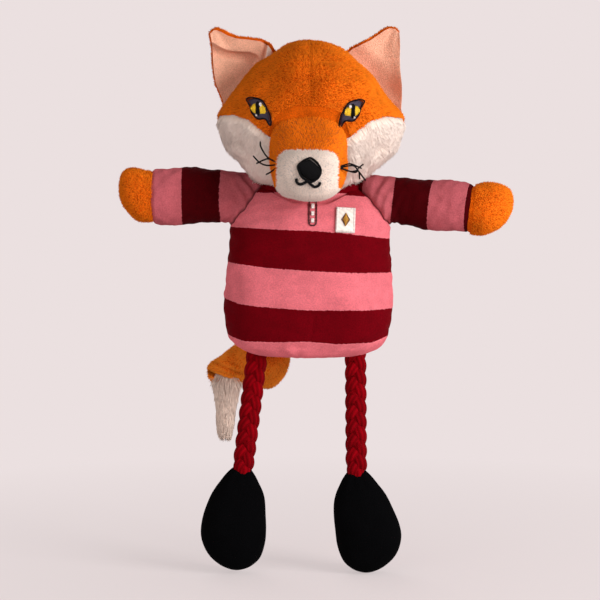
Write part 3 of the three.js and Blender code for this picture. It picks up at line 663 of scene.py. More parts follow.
def pileMaterial(name, root, tip, patch=16, spread=0.14):
    # rise is 0 at a strand's root and 1 at its tip, strand a number of its own from 0 to 1
    material, tree, shader = startMaterial(name, strandFinish)
    lift = sums(tree, "POWER", attribute(tree, "rise"), strandLook["rootShare"])
    # From the root's colour to the tip's: painted shade at the root, painted highlight at the tip
    colour = blended(tree, lift, linear(root), linear(tip))
    colour = toned(tree, colour, attribute(tree, "strand"), 1 - spread, 1 + spread, 0, 1)
    dye(tree, shader, toned(tree, colour, grain(tree, patch, 3), *strandLook["patchTone"]))
    return material


# Spun yarn and stitching thread: twisted plies, which show as slanted lines with a soft gloss
threadFinish = {"Roughness": 0.5, "Sheen Weight": 0.15, "Specular IOR Level": 0.4}
threadLook = {"threadTone": (0.85, 1.12), "plyTone": (0.7, 1.12)}


def threadMaterial(name, hexColour, pitch=1.2, plies=2, depth=0.08, finish=threadFinish):
    # run is the way along a thread in millimetres, turn the share of a turn about it
    material, tree, shader = startMaterial(name, finish)
    aboutIt = sums(tree, "MULTIPLY", attribute(tree, "turn"), plies)
    turns = sums(tree, "MULTIPLY_ADD", attribute(tree, "run"), 1 / pitch, aboutIt)
    wave = sums(tree, "SINE", sums(tree, "MULTIPLY", turns, 2 * math.pi))
    twist = sums(tree, "MULTIPLY_ADD", wave, 0.5, 0.5)
    colour = toned(tree, linear(hexColour), attribute(tree, "thread"), *threadLook["threadTone"], 0, 1)
    dye(tree, shader, toned(tree, colour, twist, *threadLook["plyTone"], 0, 1))
    relief(tree, shader, [(twist, depth)])
    return material


# Camera, lamps and stage

view = {"targetX": -10.3, "targetZ": 201.4, "distance": 1200, "elevation": 3, "lens": 99.6}
paper = {"colour": "#EBE0E0", "halfWidth": 9, "shadow": (0.1, 0.6), "evenness": (0.6, 1.0)}
ambient = {"colour": "#FFF8F6", "strength": 0.36}
camera = bpy.data.objects.new("camera", bpy.data.cameras.new("camera"))
bpy.context.scene.collection.objects.link(camera)
bpy.context.scene.camera = camera
camera.data.sensor_width = 36
camera.data.lens = view["lens"]
slope = math.radians(view["elevation"])
camera.location = np.array([
    view["targetX"],
    -view["distance"] * math.cos(slope),
    view["targetZ"] + view["distance"] * math.sin(slope),
]) * mm
camera.rotation_euler = (math.pi / 2 - slope, 0, 0)
bpy.context.scene.view_settings.view_transform = "Standard"

# Lamps: width and power, and their places in metres about the toy
lamps = {
    "key": {"size": 0.8, "power": 24, "at": (1.25, -0.9, 0.6)},
    "fill": {"size": 1.4, "power": 7.5, "at": (-0.8, -1.4, 0.4)},
    "rim": {"size": 1.0, "power": 5, "at": (-0.4, 1.2, 1.3)},
}
for name, lamp in lamps.items():
    light = bpy.data.objects.new(name, bpy.data.lights.new(name, "AREA"))
    bpy.context.scene.collection.objects.link(light)
    light.data.size = lamp["size"]
    light.data.energy = lamp["power"]
    light.location = lamp["at"]
    towards = np.array([0, 0, 0.2]) - np.array(lamp["at"])
    across, length = math.hypot(towards[0], towards[1]), towards[2]
    light.rotation_euler = (math.atan2(across, -length), 0, math.atan2(-towards[0], towards[1]))


def seenDirectly(tree):
    # 1 for what the camera, a gloss or a clear material sees, 0 for the light that surfaces get
    path = addNode(tree, "ShaderNodeLightPath")
    first = sums(tree, "MAXIMUM", path.outputs["Is Camera Ray"], path.outputs["Is Glossy Ray"])
    return sums(tree, "MAXIMUM", first, path.outputs["Is Transmission Ray"])


def makeWorld():
    world = bpy.data.worlds.new("studio")
    bpy.context.scene.world = world
    world.use_nodes = True
    tree = world.node_tree
    tree.nodes.clear()
    soft = addNode(tree, "ShaderNodeBackground", {0: linear(ambient["colour"]), 1: ambient["strength"]})
    seen = addNode(tree, "ShaderNodeBackground", {0: linear(paper["colour"]), 1: 1.0})
    inputs = {0: seenDirectly(tree), 1: soft.outputs[0], 2: seen.outputs[0]}
    addNode(tree, "ShaderNodeOutputWorld", {0: addNode(tree, "ShaderNodeMixShader", inputs).outputs[0]})


def makeFloor():
    # Seamless paper: the shadow shows near the toy, and the paper's even colour further out
    material, tree, shader = startMaterial("seamless_paper", {"Roughness": 1.0, "Specular IOR Level": 0.0})
    shader.inputs["Base Color"].default_value = linear(paper["colour"])
    coordinates = addNode(tree, "ShaderNodeTexCoord").outputs["Object"]
    away = addNode(tree, "ShaderNodeVectorMath", {0: coordinates}, operation="LENGTH").outputs["Value"]
    (near, far), (low, high) = paper["shadow"], paper["evenness"]
    level = addNode(tree, "ShaderNodeMapRange", {0: away, 1: near, 2: far, 3: low, 4: high})
    even = addNode(tree, "ShaderNodeEmission", {0: linear(paper["colour"]), 1: 1.0})
    factor = sums(tree, "MULTIPLY", level.outputs[0], seenDirectly(tree))
    mixed = addNode(tree, "ShaderNodeMixShader", {0: factor, 1: shader.outputs[0], 2: even.outputs[0]})
    tree.links.new(mixed.outputs[0], tree.nodes["Material Output"].inputs[0])
    corners = np.array([[-1, -1, 0], [1, -1, 0], [1, 1, 0], [-1, 1, 0]]) * paper["halfWidth"]
    floor = bpy.data.objects.new("floor", meshFrom("floor", corners, [np.array([[0, 1, 2, 3]])], False))
    bpy.context.scene.collection.objects.link(floor)
    floor.data.materials.append(material)


makeWorld()
makeFloor()
print("camera, lamps and stage are set")


# Places that carry the pieces: each has an origin from a joint or mount, and its own axes

depthAxis = np.array([0.0, 1.0, 0.0])


def axesFromX(across):
    x = unit(np.array(across, float))
    return np.stack([x, depthAxis, np.cross(x, depthAxis)], 1)


torsoUp = unit(np.array(joints["neck_turn"]["axis"], float))
torsoAxes = np.stack([np.cross(depthAxis, torsoUp), depthAxis, torsoUp], 1)
torsoOrigin = np.array(mounts["seat"]["pos_m"])
inTorso = place(torsoOrigin, torsoAxes)
pose = {
    "headRoll": 0.8,
    "headShift": -2,
    "droop": {"left": 5.4, "right": 1},
    "forward": {"left": 4, "right": 23},
}
neckOrigin = np.array(joints["neck_nod"]["pos_m"])
headAxes = turnAbout(depthAxis, pose["headRoll"])
headOrigin = neckOrigin + torsoAxes @ [pose["headShift"] * mm, 0, 0]
inHead = place(headOrigin, headAxes)


# Jersey body

jersey = {
    "height": 123.5,
    "width": 123,
    "depth": 68,
    "fullness": 2.4,
    "rows": [
        [0.004, 0, 0], [0.006, 0.35, 0.33], [0.012, 0.55, 0.52], [0.025, 0.66, 0.63], [0.045, 0.77, 0.73],
        [0.07, 0.87, 0.82], [0.13, 0.95, 0.91], [0.22, 0.99, 0.97], [0.33, 1, 1], [0.5, 0.975, 1],
        [0.66, 0.943, 0.97], [0.76, 0.935, 0.91], [0.85, 0.89, 0.82], [0.91, 0.81, 0.68], [0.96, 0.73, 0.53],
        [0.995, 0.64, 0.35], [1.0, 0.5, 0.25], [1.0, 0, 0],
    ],
    "bowlFloor": 25,
    "bowlHeight": 112.5,
    "bowlFlare": 28.3,
    "hemShift": -2.6,
    "edges": {
        "hem": [[-58, 16], [-46, 12.6], [-21, 12.9], [-2, 13.9], [22, 12.2], [46, 13.3], [59, 18]],
        "low": [[-61, 42.6], [-50, 39.4], [-37, 37.9], [-2, 36.1], [41, 36.5], [60, 37.3]],
        "middle": [[-59, 69.2], [-29, 65.8], [10, 64], [32, 63.4], [58, 63.7]],
        "high": [[-56, 94.3], [-21, 93], [1, 92.7], [22, 91.4], [57, 87.8]],
        "yoke": [[-41, 119.3], [-23, 119.2], [18, 118.6], [39, 117.7]],
    },
    "lumps": [[0.9, 42, 5]],
    "ripples": [[0.35, 14, 6]],
    "seam": {"depth": 0.9, "width": 1.6, "puckers": 0.25, "beside": 6, "spread": 4},
    "hem": {"top": 22, "gather": 0.8, "stitch": 1.1, "stitchAt": 9, "stitchWidth": 3},
    "armpit": {"x": 60, "z": 99, "pull": 0.3, "pulls": 9, "reach": (-2, 6, 8, 34)},
    "crease": {"x": 3, "slope": 0.05, "depth": 0.6, "width": 1.3, "heights": (10, 16, 28, 38)},
    "grid": (230, 300),
}
jerseyTable = profile(jersey["rows"], jersey["height"], jersey["width"], jersey["depth"])


def jerseyForm(u, v):
    # Superellipses up a profile, with a bowl for the head pressed into the top
    z, halfWidth, halfDepth = along(jerseyTable, v)
    x, y = ringAt(u, halfWidth, halfDepth, jersey["fullness"])
    slant = (np.hypot(x, y) - jersey["bowlFloor"]) / math.tan(math.radians(jersey["bowlFlare"]))
    bowl = jersey["bowlHeight"] + np.maximum(slant, 0)
    roundness = 3
    share = np.clip(0.5 + (bowl - z) / (2 * roundness), 0, 1)
    return np.stack([x, y, bowl * (1 - share) + z * share - roundness * share * (1 - share)], -1)


def seamFold(side, y, z):
    # The side seam is drawn in, and the cloth puckers on both sides of it
    seam = jersey["seam"]
    drawnIn = seam["depth"] * bump(y, seam["width"]) * smooth(30, 50, side) * smooth(2, 12, z)
    beside = bump(np.abs(y) - seam["beside"], seam["spread"]) * smooth(40, 55, side)
    return seam["puckers"] * beside * np.sin(z * 0.55 + np.sin(z * 0.17)) - drawnIn


def hemFold(u, z):
    # The hem is gathered into the base, below a line of stitches that draws the cloth in. Sines of odd wave
    # counts, one inside another, keep the gathers uneven
    hem = jersey["hem"]
    gathers = np.sin(u * 23 + 1.6 * np.sin(u * 5 + 1)) * (0.5 + 0.5 * np.sin(u * 7 + 2)) - 1
    stitched = bump(z - hem["stitchAt"], hem["stitchWidth"]) * smooth(-4, 4, z) * (0.6 + 0.4 * np.sin(u * 11))
    return hem["gather"] * within(z, -2, 2, 2, hem["top"]) * gathers - hem["stitch"] * stitched


def armpitFold(x, z):
    # Pulls that run out from each armpit
    armpit = jersey["armpit"]
    side, rise = np.abs(x), z - armpit["z"]
    angle = np.arctan2(rise, armpit["x"] + 2 - side)
    near = within(np.hypot(side - armpit["x"], rise * 0.9), *armpit["reach"])
    pulls = np.sin(angle * armpit["pulls"] + 0.6 * np.sign(x)) * smooth(0.9, 0.2, np.abs(angle + 0.35))
    return armpit["pull"] * near * pulls


def jerseySurface(u, v):
    # The form with its folds: lumps of stuffing, drawn-in side seams, a gathered hem and pulls at the armpits
    points = jerseyForm(u, v)
    x, y, z = points[..., 0], points[..., 1], points[..., 2]
    fold = lumps(points, jersey["lumps"]) + lumps(points * [1, 1, 1.8], jersey["ripples"])
    fold += seamFold(np.abs(x), y, z) + hemFold(u, z) + armpitFold(x, z)
    crease = jersey["crease"]
    line = bump(x - crease["x"] - crease["slope"] * (z - 20), crease["width"]) * within(z, *crease["heights"])
    fold -= crease["depth"] * line * (y < 0)
    halfWidth, halfDepth = jersey["width"] / 2, jersey["depth"] / 2
    out = unit(np.stack([x / halfWidth**2, y / halfDepth**2, 0.25 * (z - 60) / 62**2], -1))
    moved = points + out * (fold * smooth(124, 112, z))[..., None]
    moved[..., 0] += jersey["hemShift"] * smooth(28, 4, z)
    return moved


def bandAt(way, edges):
    # Counts the stripes from 0 by the edges that lie before a place
    return sum(np.clip((way - low) / (high - low), 0, 1) for low, high in zip(edges, edges[1:]))


def jerseyBand(points):
    # Counts the stripes up from the hem
    x, z = points[..., 0], points[..., 2]
    named = [np.interp(x, *np.array(edge).T) for edge in jersey["edges"].values()]
    return bandAt(z, [np.zeros_like(z), *named, named[-1] + 20])


jerseyMaterial = velourMaterial("cotton_velour_striped", [velour["pink"], velour["maroon"]] * 3)
points = jerseySurface(*gridOf(*jersey["grid"]))
jerseyFaces = gridFaces(*jersey["grid"], True)
jerseyTree = BVHTree.FromPolygons(inTorso(points).reshape(-1, 3).tolist(), jerseyFaces.tolist())
addForm("jersey", inTorso, points, jerseyMaterial, {"band": jerseyBand(points)}, body="torso",
        nodes=["jersey_front", "jersey_back", "jersey_base", "torso_stuffing"], slot="pink_velour", fill=0.85)

# Neck: the yoke's velour rises round a stuffed stump and goes in under the head
neckSkin = {
    "rows": [
        [-24, 0, 0], [-23, 20, 10], [-18, 33, 15], [-9, 37, 17], [-4, 38, 17], [-1, 36, 16], [2, 29, 14],
        [6, 17, 11], [9, 8, 7], [10, 0, 0],
    ],
    "yoke": -7.5,
    "gather": 0.025,
    "gathers": 17,
    "bend": (-9.0, 3.0),
}
neckTable = smoothLine(neckSkin["rows"])
inNeck = place(neckOrigin, torsoAxes)


def bendEnds(put, axis, start, end):
    # The two places in the frame, on one of a piece's axes, at a start and an end along it
    return put(np.array([np.eye(3)[axis] * start, np.eye(3)[axis] * end]))


def neckSurface(u, v):
    # Ellipses up a profile, a little gathered
    z, halfWidth, halfDepth = along(neckTable, v)
    gather = 1 + neckSkin["gather"] * np.sin(u * neckSkin["gathers"] + np.sin(u * 4)) * smooth(-12, -4, z)
    return np.stack([halfWidth * gather * np.cos(u), halfDepth * gather * np.sin(u), z], -1)


neckVelour = velourMaterial("cotton_velour_neck", [velour["pink"], velour["maroon"]])
neckPoints = neckSurface(*gridOf(60, 150))
foot = neckSkin["rows"][0][0]
yokeOnNeck = (neckPoints[..., 2] - foot) / (neckSkin["yoke"] - foot)
addForm("neck_skin", inNeck, neckPoints, neckVelour, {"band": yokeOnNeck},
        between=("torso", "neck", *bendEnds(inNeck, 2, *neckSkin["bend"])), nodes=["neck_plug"],
        slot="pink_velour", fill=0.8)
print("body and neck are made")


# Arms: a raglan sleeve that grows out of the body, and a paw

sleeves = {
    "height": 39,
    "depth": 34,
    "fullness": 2.3,
    "tilt": 0.46,
    "rows": [
        [-23, 0, 0], [-22.5, 0.25, 0.4], [-20, 0.6, 0.74], [-16, 0.85, 0.94], [-11.7, 0.96, 1.03],
        [0, 0.92, 1], [12, 0.95, 0.97], [26, 1, 1], [46, 1, 1], [56, 0.98, 0.98], [59, 0.95, 0.96],
        [59.8, 0.88, 0.9], [59.2, 0.7, 0.7], [57, 0, 0],
    ],
    "edges": {"left": [-24, -21, 1.8, 30, 56.8, 61], "right": [-24, -19, 9.2, 37.1, 61]},
    "scale": {"left": 0.92, "right": 1.03},
    "shear": {"left": 0.15, "right": -0.4},
    "shearFrom": (2, 18),
    "lumps": [[0.8, 26, 11], [0.3, 9, 12]],
    "pulls": 0.2,
    "pleats": 0.8,
    "slanted": 0.75,
    "swell": 4.8,
    "cuff": 1.0,
    "cuffAt": 59.3,
    "bend": (-8, 14),
}
paws = {
    "rows": [
        [57.5, 0.7, 0.7], [58.8, 0.9, 0.9], [60.5, 0.97, 0.96], [70, 1.02, 0.98], [78.5, 0.92, 0.88],
        [85, 0.66, 0.64], [88, 0.34, 0.32], [89, 0, 0],
    ],
    "inset": 1.6,
    "tips": {"left": 88.3, "right": 83.8},
    "rise": 5.5,
    "lumps": {"left": [[0.8, 20, 22]], "right": [[0.8, 20, 20]]},
    "seamWidth": 1.3,
    "pile": {"count": 9000, "length": 1.92, "width": 0.95, "bends": 1, "seed": 61},
    "pileFrom": 60.5,
}
sleeveTable = profile(sleeves["rows"], 1, sleeves["height"], sleeves["depth"])
pawTable = profile(paws["rows"], 1, sleeves["height"], sleeves["depth"])


def armAxes(side):
    # The way out along the arm is third, the depth of the arm second
    droop, forward = math.radians(pose["droop"][side]), math.radians(pose["forward"][side])
    out = np.array([
        sides[side] * math.cos(droop) * math.cos(forward),
        -math.cos(droop) * math.sin(forward),
        -math.sin(droop),
    ])
    deep = np.array([sides[side] * math.sin(forward), math.cos(forward), 0])
    return torsoAxes @ np.stack([np.cross(deep, out), deep, out], 1)


def sleeveFold(side, y, s, rise):
    # Pulls under the arm. On the front of the root, pleats, slanted folds and a swell that bends the raglan
    # seam towards the chest. The cuff is drawn in by its stitches
    atFront = smooth(4, -10, y)
    pulls = np.sin(s * 0.72 + 0.09 * y * sides[side] + 1) * bump(s - 4, 12) * smooth(2, -14, rise)
    pleats = bump(s + 2 + 0.3 * rise, 4) * np.sin(rise * 0.42) * atFront
    slanted = np.sin((s - 0.7 * rise) * 0.8 + 2.4) * bump(s + 5, 8) * atFront
    swell = bump(s + 8, 10) * smooth(8, -9, rise) * smooth(2, -10, y)
    fold = sleeves["pulls"] * pulls + sleeves["pleats"] * pleats + sleeves["slanted"] * slanted
    return fold + sleeves["swell"] * swell - sleeves["cuff"] * bump(s - sleeves["cuffAt"], 1.2)


def sleeveSurface(side):
    # Rings along the arm. Those at the root lean with the raglan seam, the rest shear to the turn of the arm
    def surface(u, v):
        s, halfHeight, halfDepth = along(sleeveTable, v)
        x, y = ringAt(u, halfHeight * sleeves["scale"][side], halfDepth, sleeves["fullness"])
        points = np.stack([x, y, s], -1)
        fold = lumps(points, sleeves["lumps"]) + sleeveFold(side, y, s, -sides[side] * x)
        away = unit(np.stack([x, y, np.zeros_like(x)], -1))
        x, y, s = np.moveaxis(points + away * (fold * smooth(-20, -8, s))[..., None], -1, 0)
        lean = sleeves["tilt"] * (1 - smooth(-13, 14, s))
        out = s + np.sin(lean) * sides[side] * x
        slant = sleeves["shear"][side] * y * smooth(*sleeves["shearFrom"], out)
        return np.stack([x * np.cos(lean), y, out + slant], -1)
    return surface


def sleeveBand(side, points):
    # Counts the stripes out along the arm
    y, s = points[..., 1], points[..., 2]
    return bandAt(s - sleeves["shear"][side] * y * smooth(*sleeves["shearFrom"], s), sleeves["edges"][side])


def seamShadeMask(places, width=2.0):
    # 1 where the sleeve leaves the body, fading out over the width in millimetres. It darkens the velour there as
    # painted shade
    distance = np.array([jerseyTree.find_nearest(spot)[3] for spot in places.reshape(-1, 3).tolist()])
    return smooth(width, width / 4, distance / mm).reshape(places.shape[:-1])


def pawSurface(side):
    # Rings to a blunt end that points up a little, drawn in by the pile's length and by a seam round the paw
    def surface(u, v):
        s, *halves = along(pawTable, v)
        x, y = ringAt(u, *[np.maximum(half - paws["inset"], 0.0) for half in halves], sleeves["fullness"])
        points = np.stack([x, y, s], -1)
        fold = lumps(points, paws["lumps"][side]) - bump(y, paws["seamWidth"]) * smooth(4, 9, np.abs(x))
        x = (points + unit(points * [1, 1, 0] + [0, 0, 1e-6]) * fold[..., None])[..., 0]
        start, end = paws["rows"][0][0], paws["rows"][-1][0]
        reach = start + (s - start) * (paws["tips"][side] - start) / (end - start)
        lift = paws["rise"] * smooth(start + 10, end, s)
        return np.stack([x - sides[side] * lift, y, reach + sleeves["shear"][side] * y], -1)
    return surface


orangePlush = plushMaterial("polyester_plush_orange", "#DC5C08")
orangePile = pileMaterial("polyester_pile_orange", "#D65604", "#FF8418")
whitePile = pileMaterial("polyester_pile_white", "#D8BCA8", "#FAEADF", 20, 0.06)
# The sleeves' stripes take the darker copies of pink and maroon, which are painted shade
sleeveColoursPaintedShade = {
    "left": [velour[key] for key in ("maroon", "sleevePinkPaintedShade", "sleeveMaroonPaintedShade", "sleevePinkPaintedShade", "sleeveMaroonPaintedShade")],
    "right": [velour[key] for key in ("maroon", "sleevePinkPaintedShade", "sleeveMaroonPaintedShade", "sleevePinkPaintedShade")],
}
for side in sides:
    arm = f"arm_{side}"
    inArm = place(np.array(joints[f"shoulder_{side}"]["pos_m"]), armAxes(side))
    points = sleeveSurface(side)(*gridOf(190, 150))
    # crease darkens the sleeve along its seam with the body, as painted shade
    worn = {"band": sleeveBand(side, points), "crease": seamShadeMask(inArm(points))}
    sleeveVelourPaintedShade = velourMaterial(f"cotton_velour_sleeve_painted_shade_{side}", sleeveColoursPaintedShade[side])
    addForm(f"sleeve_cloth_{side}", inArm, points, sleeveVelourPaintedShade, worn,
            between=("torso", arm, *bendEnds(inArm, 2, *sleeves["bend"])), nodes=[f"sleeve_{side}"],
            slot="pink_velour", fill=0.8)
    addForm(f"paw_plush_{side}", inArm, pawSurface(side)(*gridOf(60, 100)), orangePlush, body=arm,
            nodes=[f"paw_{side}"], slot="orange_plush", fill=0.85)
    addPile(f"paw_pile_{side}", inArm, pawSurface(side), orangePile, paws["pile"],
            lambda points, u: points[:, 2] > paws["pileFrom"], (0, 0, 0.5), body=arm, slot="orange_plush")
print("arms are made")


# Head

head = {
    "height": 111.5,
    "width": 140,
    "depth": 93,
    "fullness": 2.2,
    "drop": 8,
    "forward": 4,
    "inset": 2.4,
    "rows": [
        [-0.01, 0, 0], [-0.005, 0.2, 0.27], [0.004, 0.31, 0.39], [0.05, 0.38, 0.47], [0.1, 0.53, 0.6],
        [0.17, 0.69, 0.73], [0.25, 0.82, 0.84], [0.33, 0.93, 0.92], [0.41, 0.985, 0.98], [0.49, 1, 1],
        [0.56, 0.92, 0.99], [0.66, 0.79, 0.94], [0.77, 0.66, 0.84], [0.86, 0.52, 0.69], [0.94, 0.36, 0.47],
        [0.985, 0.19, 0.24], [1, 0, 0],
    ],
    "lumps": [[0.9, 38, 31], [0.3, 15, 32]],
    "crownSeam": 0.45,
    "sideSeam": 1.1,
    "temple": 0.05,
    "pile": {"count": 42000, "length": 2.4, "width": 0.95, "bends": 1},
    "halves": {"front": (81, (-np.pi, 0)), "back": (82, (0, np.pi))},
}
headTable = profile(head["rows"], head["height"] - 2 * head["inset"], head["width"], head["depth"],
                    head["inset"], head["inset"])


def headSurface(u, v):
    # Superellipses up a profile, with lumps, seams over the crown and down the sides, and a flat right temple
    z, halfWidth, halfDepth = along(headTable, v)
    x, y = ringAt(u, halfWidth, halfDepth, head["fullness"])
    narrowed = x * (1 - head["temple"] * (x < 0) * bump(z - 50, 22))
    points = np.stack([narrowed, y - head["forward"], z - head["drop"]], -1)
    fold = lumps(points, head["lumps"])
    fold -= head["crownSeam"] * bump(x, 1.3) * smooth(55, 75, z)
    fold -= head["sideSeam"] * bump(y - 1, 1.5) * smooth(12, 30, np.abs(x))
    out = unit(np.stack([x / 70**2, y / 46**2, (z - 52) / 56**2], -1))
    return points + out * (fold * smooth(0, 8, z) * smooth(111, 104, z))[..., None]


addForm("head_plush", inHead, headSurface(*gridOf(160, 240)), orangePlush, body="head",
        nodes=["head_front", "head_back", "head_stuffing"], slot="orange_plush", fill=0.9)

# Cheeks: panels of long white pile below a line that falls from the side of the head to the muzzle
cheeks = {
    "across": [0, 28, 34, 42, 53, 70],
    "edge": [24, 31, 36, 42.5, 46.5, 46.5],
    "bottom": 9.0,
    "puff": 0.3,
    "front": 0.3,
    "back": -0.8,
    "locks": [[0.6, 9, 95]],
    "pile": {
        "count": 12000, "length": 6, "width": 1.1, "bends": 3, "seed": 93,
        "droop": 0.2, "spread": 0.16, "softness": 0.6,
    },
    "turns": {"left": (-np.pi / 2 + 0.06, -0.12), "right": (-np.pi + 0.12, -np.pi / 2 - 0.06)},
}
whitePlush = plushMaterial("polyester_plush_white", "#E6D8D0", 0.82)


def cheekLine(x):
    # The height of the cheek's upper edge at a distance from the middle of the face
    return np.interp(np.abs(x), cheeks["across"], cheeks["edge"])


def cheekSurface(lift=0.0):
    # u is the angle round the head, and v runs from the underside of the head up to the cheek line
    def surface(u, v):
        top = np.full(np.shape(u), 0.4)
        for _ in range(8):
            x = headSurface(u, top)[..., 0]
            top = whereIs(headTable, cheekLine(x) + head["drop"])
        low = whereIs(headTable, cheeks["bottom"])
        middle = 2 * v - 1
        swell = cheeks["puff"] * (1 - middle**4) * smooth(1.0, 0.97, np.abs(np.cos(u))) + lift
        onHead = low + (top - low) * v
        points = headSurface(u, onHead)
        gather = lumps(points * [1, 1, 0.45], cheeks["locks"]) * (1 - middle**2)
        return points + normalsOn(headSurface, u, onHead) * (swell + gather)[..., None]
    return surface


for side, turns in cheeks["turns"].items():
    u, v = gridOf(60, 90, *turns, closed=False)
    front, back = [inHead(cheekSurface(cheeks[layer])(u, v)) for layer in ("front", "back")]
    addPiece(f"cheek_plush_{side}", shellForm(f"cheek_plush_{side}", front, back), whitePlush, body="head",
             nodes=[f"cheek_{side}"], slot="white_pile", fill=0.7)

# Muzzle: rows hold the distance forward, the half width, and the bottom and top heights
muzzle = {
    "reach": 76,
    "width": 56,
    "height": 60,
    "fullness": 2.7,
    "inset": 1.6,
    "whiteMiddle": -0.8,
    "whiteHalf": 20.7,
    "whiteTop": 20.5,
    "whiteCorner": 8,
    "rows": [
        [0.36, 1, 0, 1], [0.6, 1, -0.06, 0.93], [0.7, 0.98, -0.09, 0.84], [0.8, 0.91, -0.1, 0.7],
        [0.895, 0.8, -0.1, 0.54], [0.96, 0.62, -0.05, 0.45], [0.99, 0.34, 0.05, 0.34], [1, 0, 0.2, 0.2],
    ],
    "lumps": [[0.6, 22, 41]],
    "orangePile": {"count": 15000, "length": 2.04, "width": 0.95, "bends": 1, "seed": 83},
    "whitePile": {"count": 34000, "length": 1.7, "width": 0.75, "bends": 1, "seed": 84},
}
muzzleTable = smoothLine([
    [
        reach * muzzle["reach"] - muzzle["inset"],
        max(wide * muzzle["width"] / 2 - muzzle["inset"], 0),
        low * muzzle["height"] + (muzzle["inset"] if wide else 0),
        high * muzzle["height"] - (muzzle["inset"] if wide else 0),
    ]
    for reach, wide, low, high in muzzle["rows"]
])


def muzzleSurface(u, v):
    # Superellipses carried forward from inside the head to the front of the muzzle
    reach, half, low, high = along(muzzleTable, v)
    x, z = ringAt(u, half, (high - low) / 2, muzzle["fullness"])
    points = np.stack([x, -reach, (low + high) / 2 - head["drop"] + z], -1)
    fold = lumps(points, muzzle["lumps"])
    out = unit(np.stack([x, np.zeros_like(x), z], -1) + 1e-9)
    return points + out * (fold * smooth(1.0, 0.85, v))[..., None]


def muzzleWhite(points):
    # 1 on the white front of the muzzle, 0 on the orange. From the front it is a block with round corners
    x, y, z = points[..., 0], points[..., 1], points[..., 2]
    corner = muzzle["whiteCorner"]
    wide = np.maximum(np.abs(x - muzzle["whiteMiddle"]) - (muzzle["whiteHalf"] - corner), 0)
    high = np.maximum(z - (muzzle["whiteTop"] - corner), 0)
    under = smooth(-4, -8, z) * 40
    inside = corner - np.hypot(np.maximum(wide - under, 0), high)
    return smooth(-0.7, 0.7, np.minimum(inside, -y - 50 + under * 0.2))


def muzzleMaterial():
    # Two plushes sewn edge to edge
    material, tree, shader = startMaterial("polyester_plush_muzzle", plushFinish)
    colour = blended(tree, attribute(tree, "front"), linear("#D05A0C"), linear("#DDCFC6"))
    colour = toned(tree, colour, grain(tree, plush["patchSize"], 3), 0.85, plush["light"])
    pile = grain(tree, plush["pileSize"], 2)
    colour = toned(tree, colour, pile, 0.7, plush["pileLight"])
    tree.links.new(colour, shader.inputs["Base Color"])
    relief(tree, shader, [(pile, plush["bump"])])
    return material


points = muzzleSurface(*gridOf(120, 150))
addForm("muzzle_plush", inHead, points, muzzleMaterial(), {"front": muzzleWhite(points)}, body="head",
        nodes=["muzzle_bridge", "muzzle_front"], slot="orange_plush", fill=0.85)


# Embroidery outlines on the face, in millimetres from the head's own place

nose = {"x": 0.5, "z": 7.5, "outline": [
    [0.9, 8.2], [5.2, 4.8], [7.6, 1], [7.9, -1.9], [6.2, -5.8], [2.3, -8.6], [-1.1, -8.2], [-5.4, -5.3],
    [-7.3, -1.4], [-8, 2.4], [-4.4, 5.8], [-1.5, 7.2],
]}
eyes = {
    "at": {"left": [29.5, 49.3], "right": [-34.9, 50]},
    "outline": [
        [8.7, 7], [6.7, 8], [4.8, 8.1], [2.4, 7.5], [0, 6.9], [-2.4, 5.7], [-4.1, 3.8], [-5.5, 1.4],
        [-6.7, -1.2], [-7.9, -3.6], [-8.6, -6], [-9, -8.4], [-8.5, -11.1], [-7.4, -10.5], [-6.2, -8.4],
        [-5, -7], [-3.3, -6.7], [-1.4, -6.9], [0, -6.9], [1.9, -6], [3.3, -4.3], [4.8, -2.4], [5.5, -0.2],
        [6, 1.7], [6.7, 3.1], [7.9, 5.3],
    ],
    "iris": [
        [-5.3, -2.3], [-4.6, 1], [-3.1, 3.2], [-1.4, 4.6], [1.2, 5], [3.8, 4.3], [5.2, 1.6], [5.1, -0.5],
        [3.4, -3.2], [0.6, -5.1], [-1.6, -4.8], [-4.4, -4.1],
    ],
    "pupil": [2.5, 4.8, 0.6, 0.1],
    "glint": [0.8, 1.75, -1.45, 2.75],
    "fleck": [0.5, 0.9, 1.4, -4.3],
}
mouthLine = roundPath([
    [-8.15, 1.5], [-7.8, -1.1], [-5.7, -2.5], [-2.8, -1.6], [-0.8, -0.4], [1.85, -2.6], [4.2, -4],
    [6.8, -2.9], [7.7, -0.7],
], 70)
noseOutline = roundPath(nose["outline"], 60, closed=True)[:-1] * 0.94 + [nose["x"], nose["z"]]
eyeOutline = roundPath(eyes["outline"], 80, closed=True)[:-1]


def eyeShape(side, outline):
    return np.array(outline) * [sides[side], 1] + eyes["at"][side]


def clearOfFace(points, u):
    # Where orange pile may stand: above the cheeks, outside the eyes and outside the muzzle
    x, y, z = points[:, 0], points[:, 1], points[:, 2]
    cheek = (z < cheekLine(x) + 0.5) & (y < 0.5)
    leftEye, rightEye = [insideOutline(x, z, eyeShape(side, eyeOutline)) for side in ("left", "right")]
    hidden = (np.abs(x) / 28) ** 2.7 + (np.abs(z - 22) / 30) ** 2.7 < 1.1
    return ~(cheek | ((leftEye | rightEye | hidden) & (y < 0))) & (z > -4)


def faceLie(roots):
    # The pile of the head runs from the crown down and out
    return np.stack([roots[:, 0] / 90, 0 * roots[:, 0], -0.45 - 0.2 * waves(roots, 30, 71)], -1)


def muzzleOrange(points, u):
    # The orange part of the muzzle, where it stands clear of the head
    x, y, z = points[:, 0], points[:, 1], points[:, 2]
    inside = (x / 68) ** 2 + ((y + 4) / 44) ** 2 + ((z - 47) / 54) ** 2
    return (inside > 0.93) & (muzzleWhite(points) < 0.6)


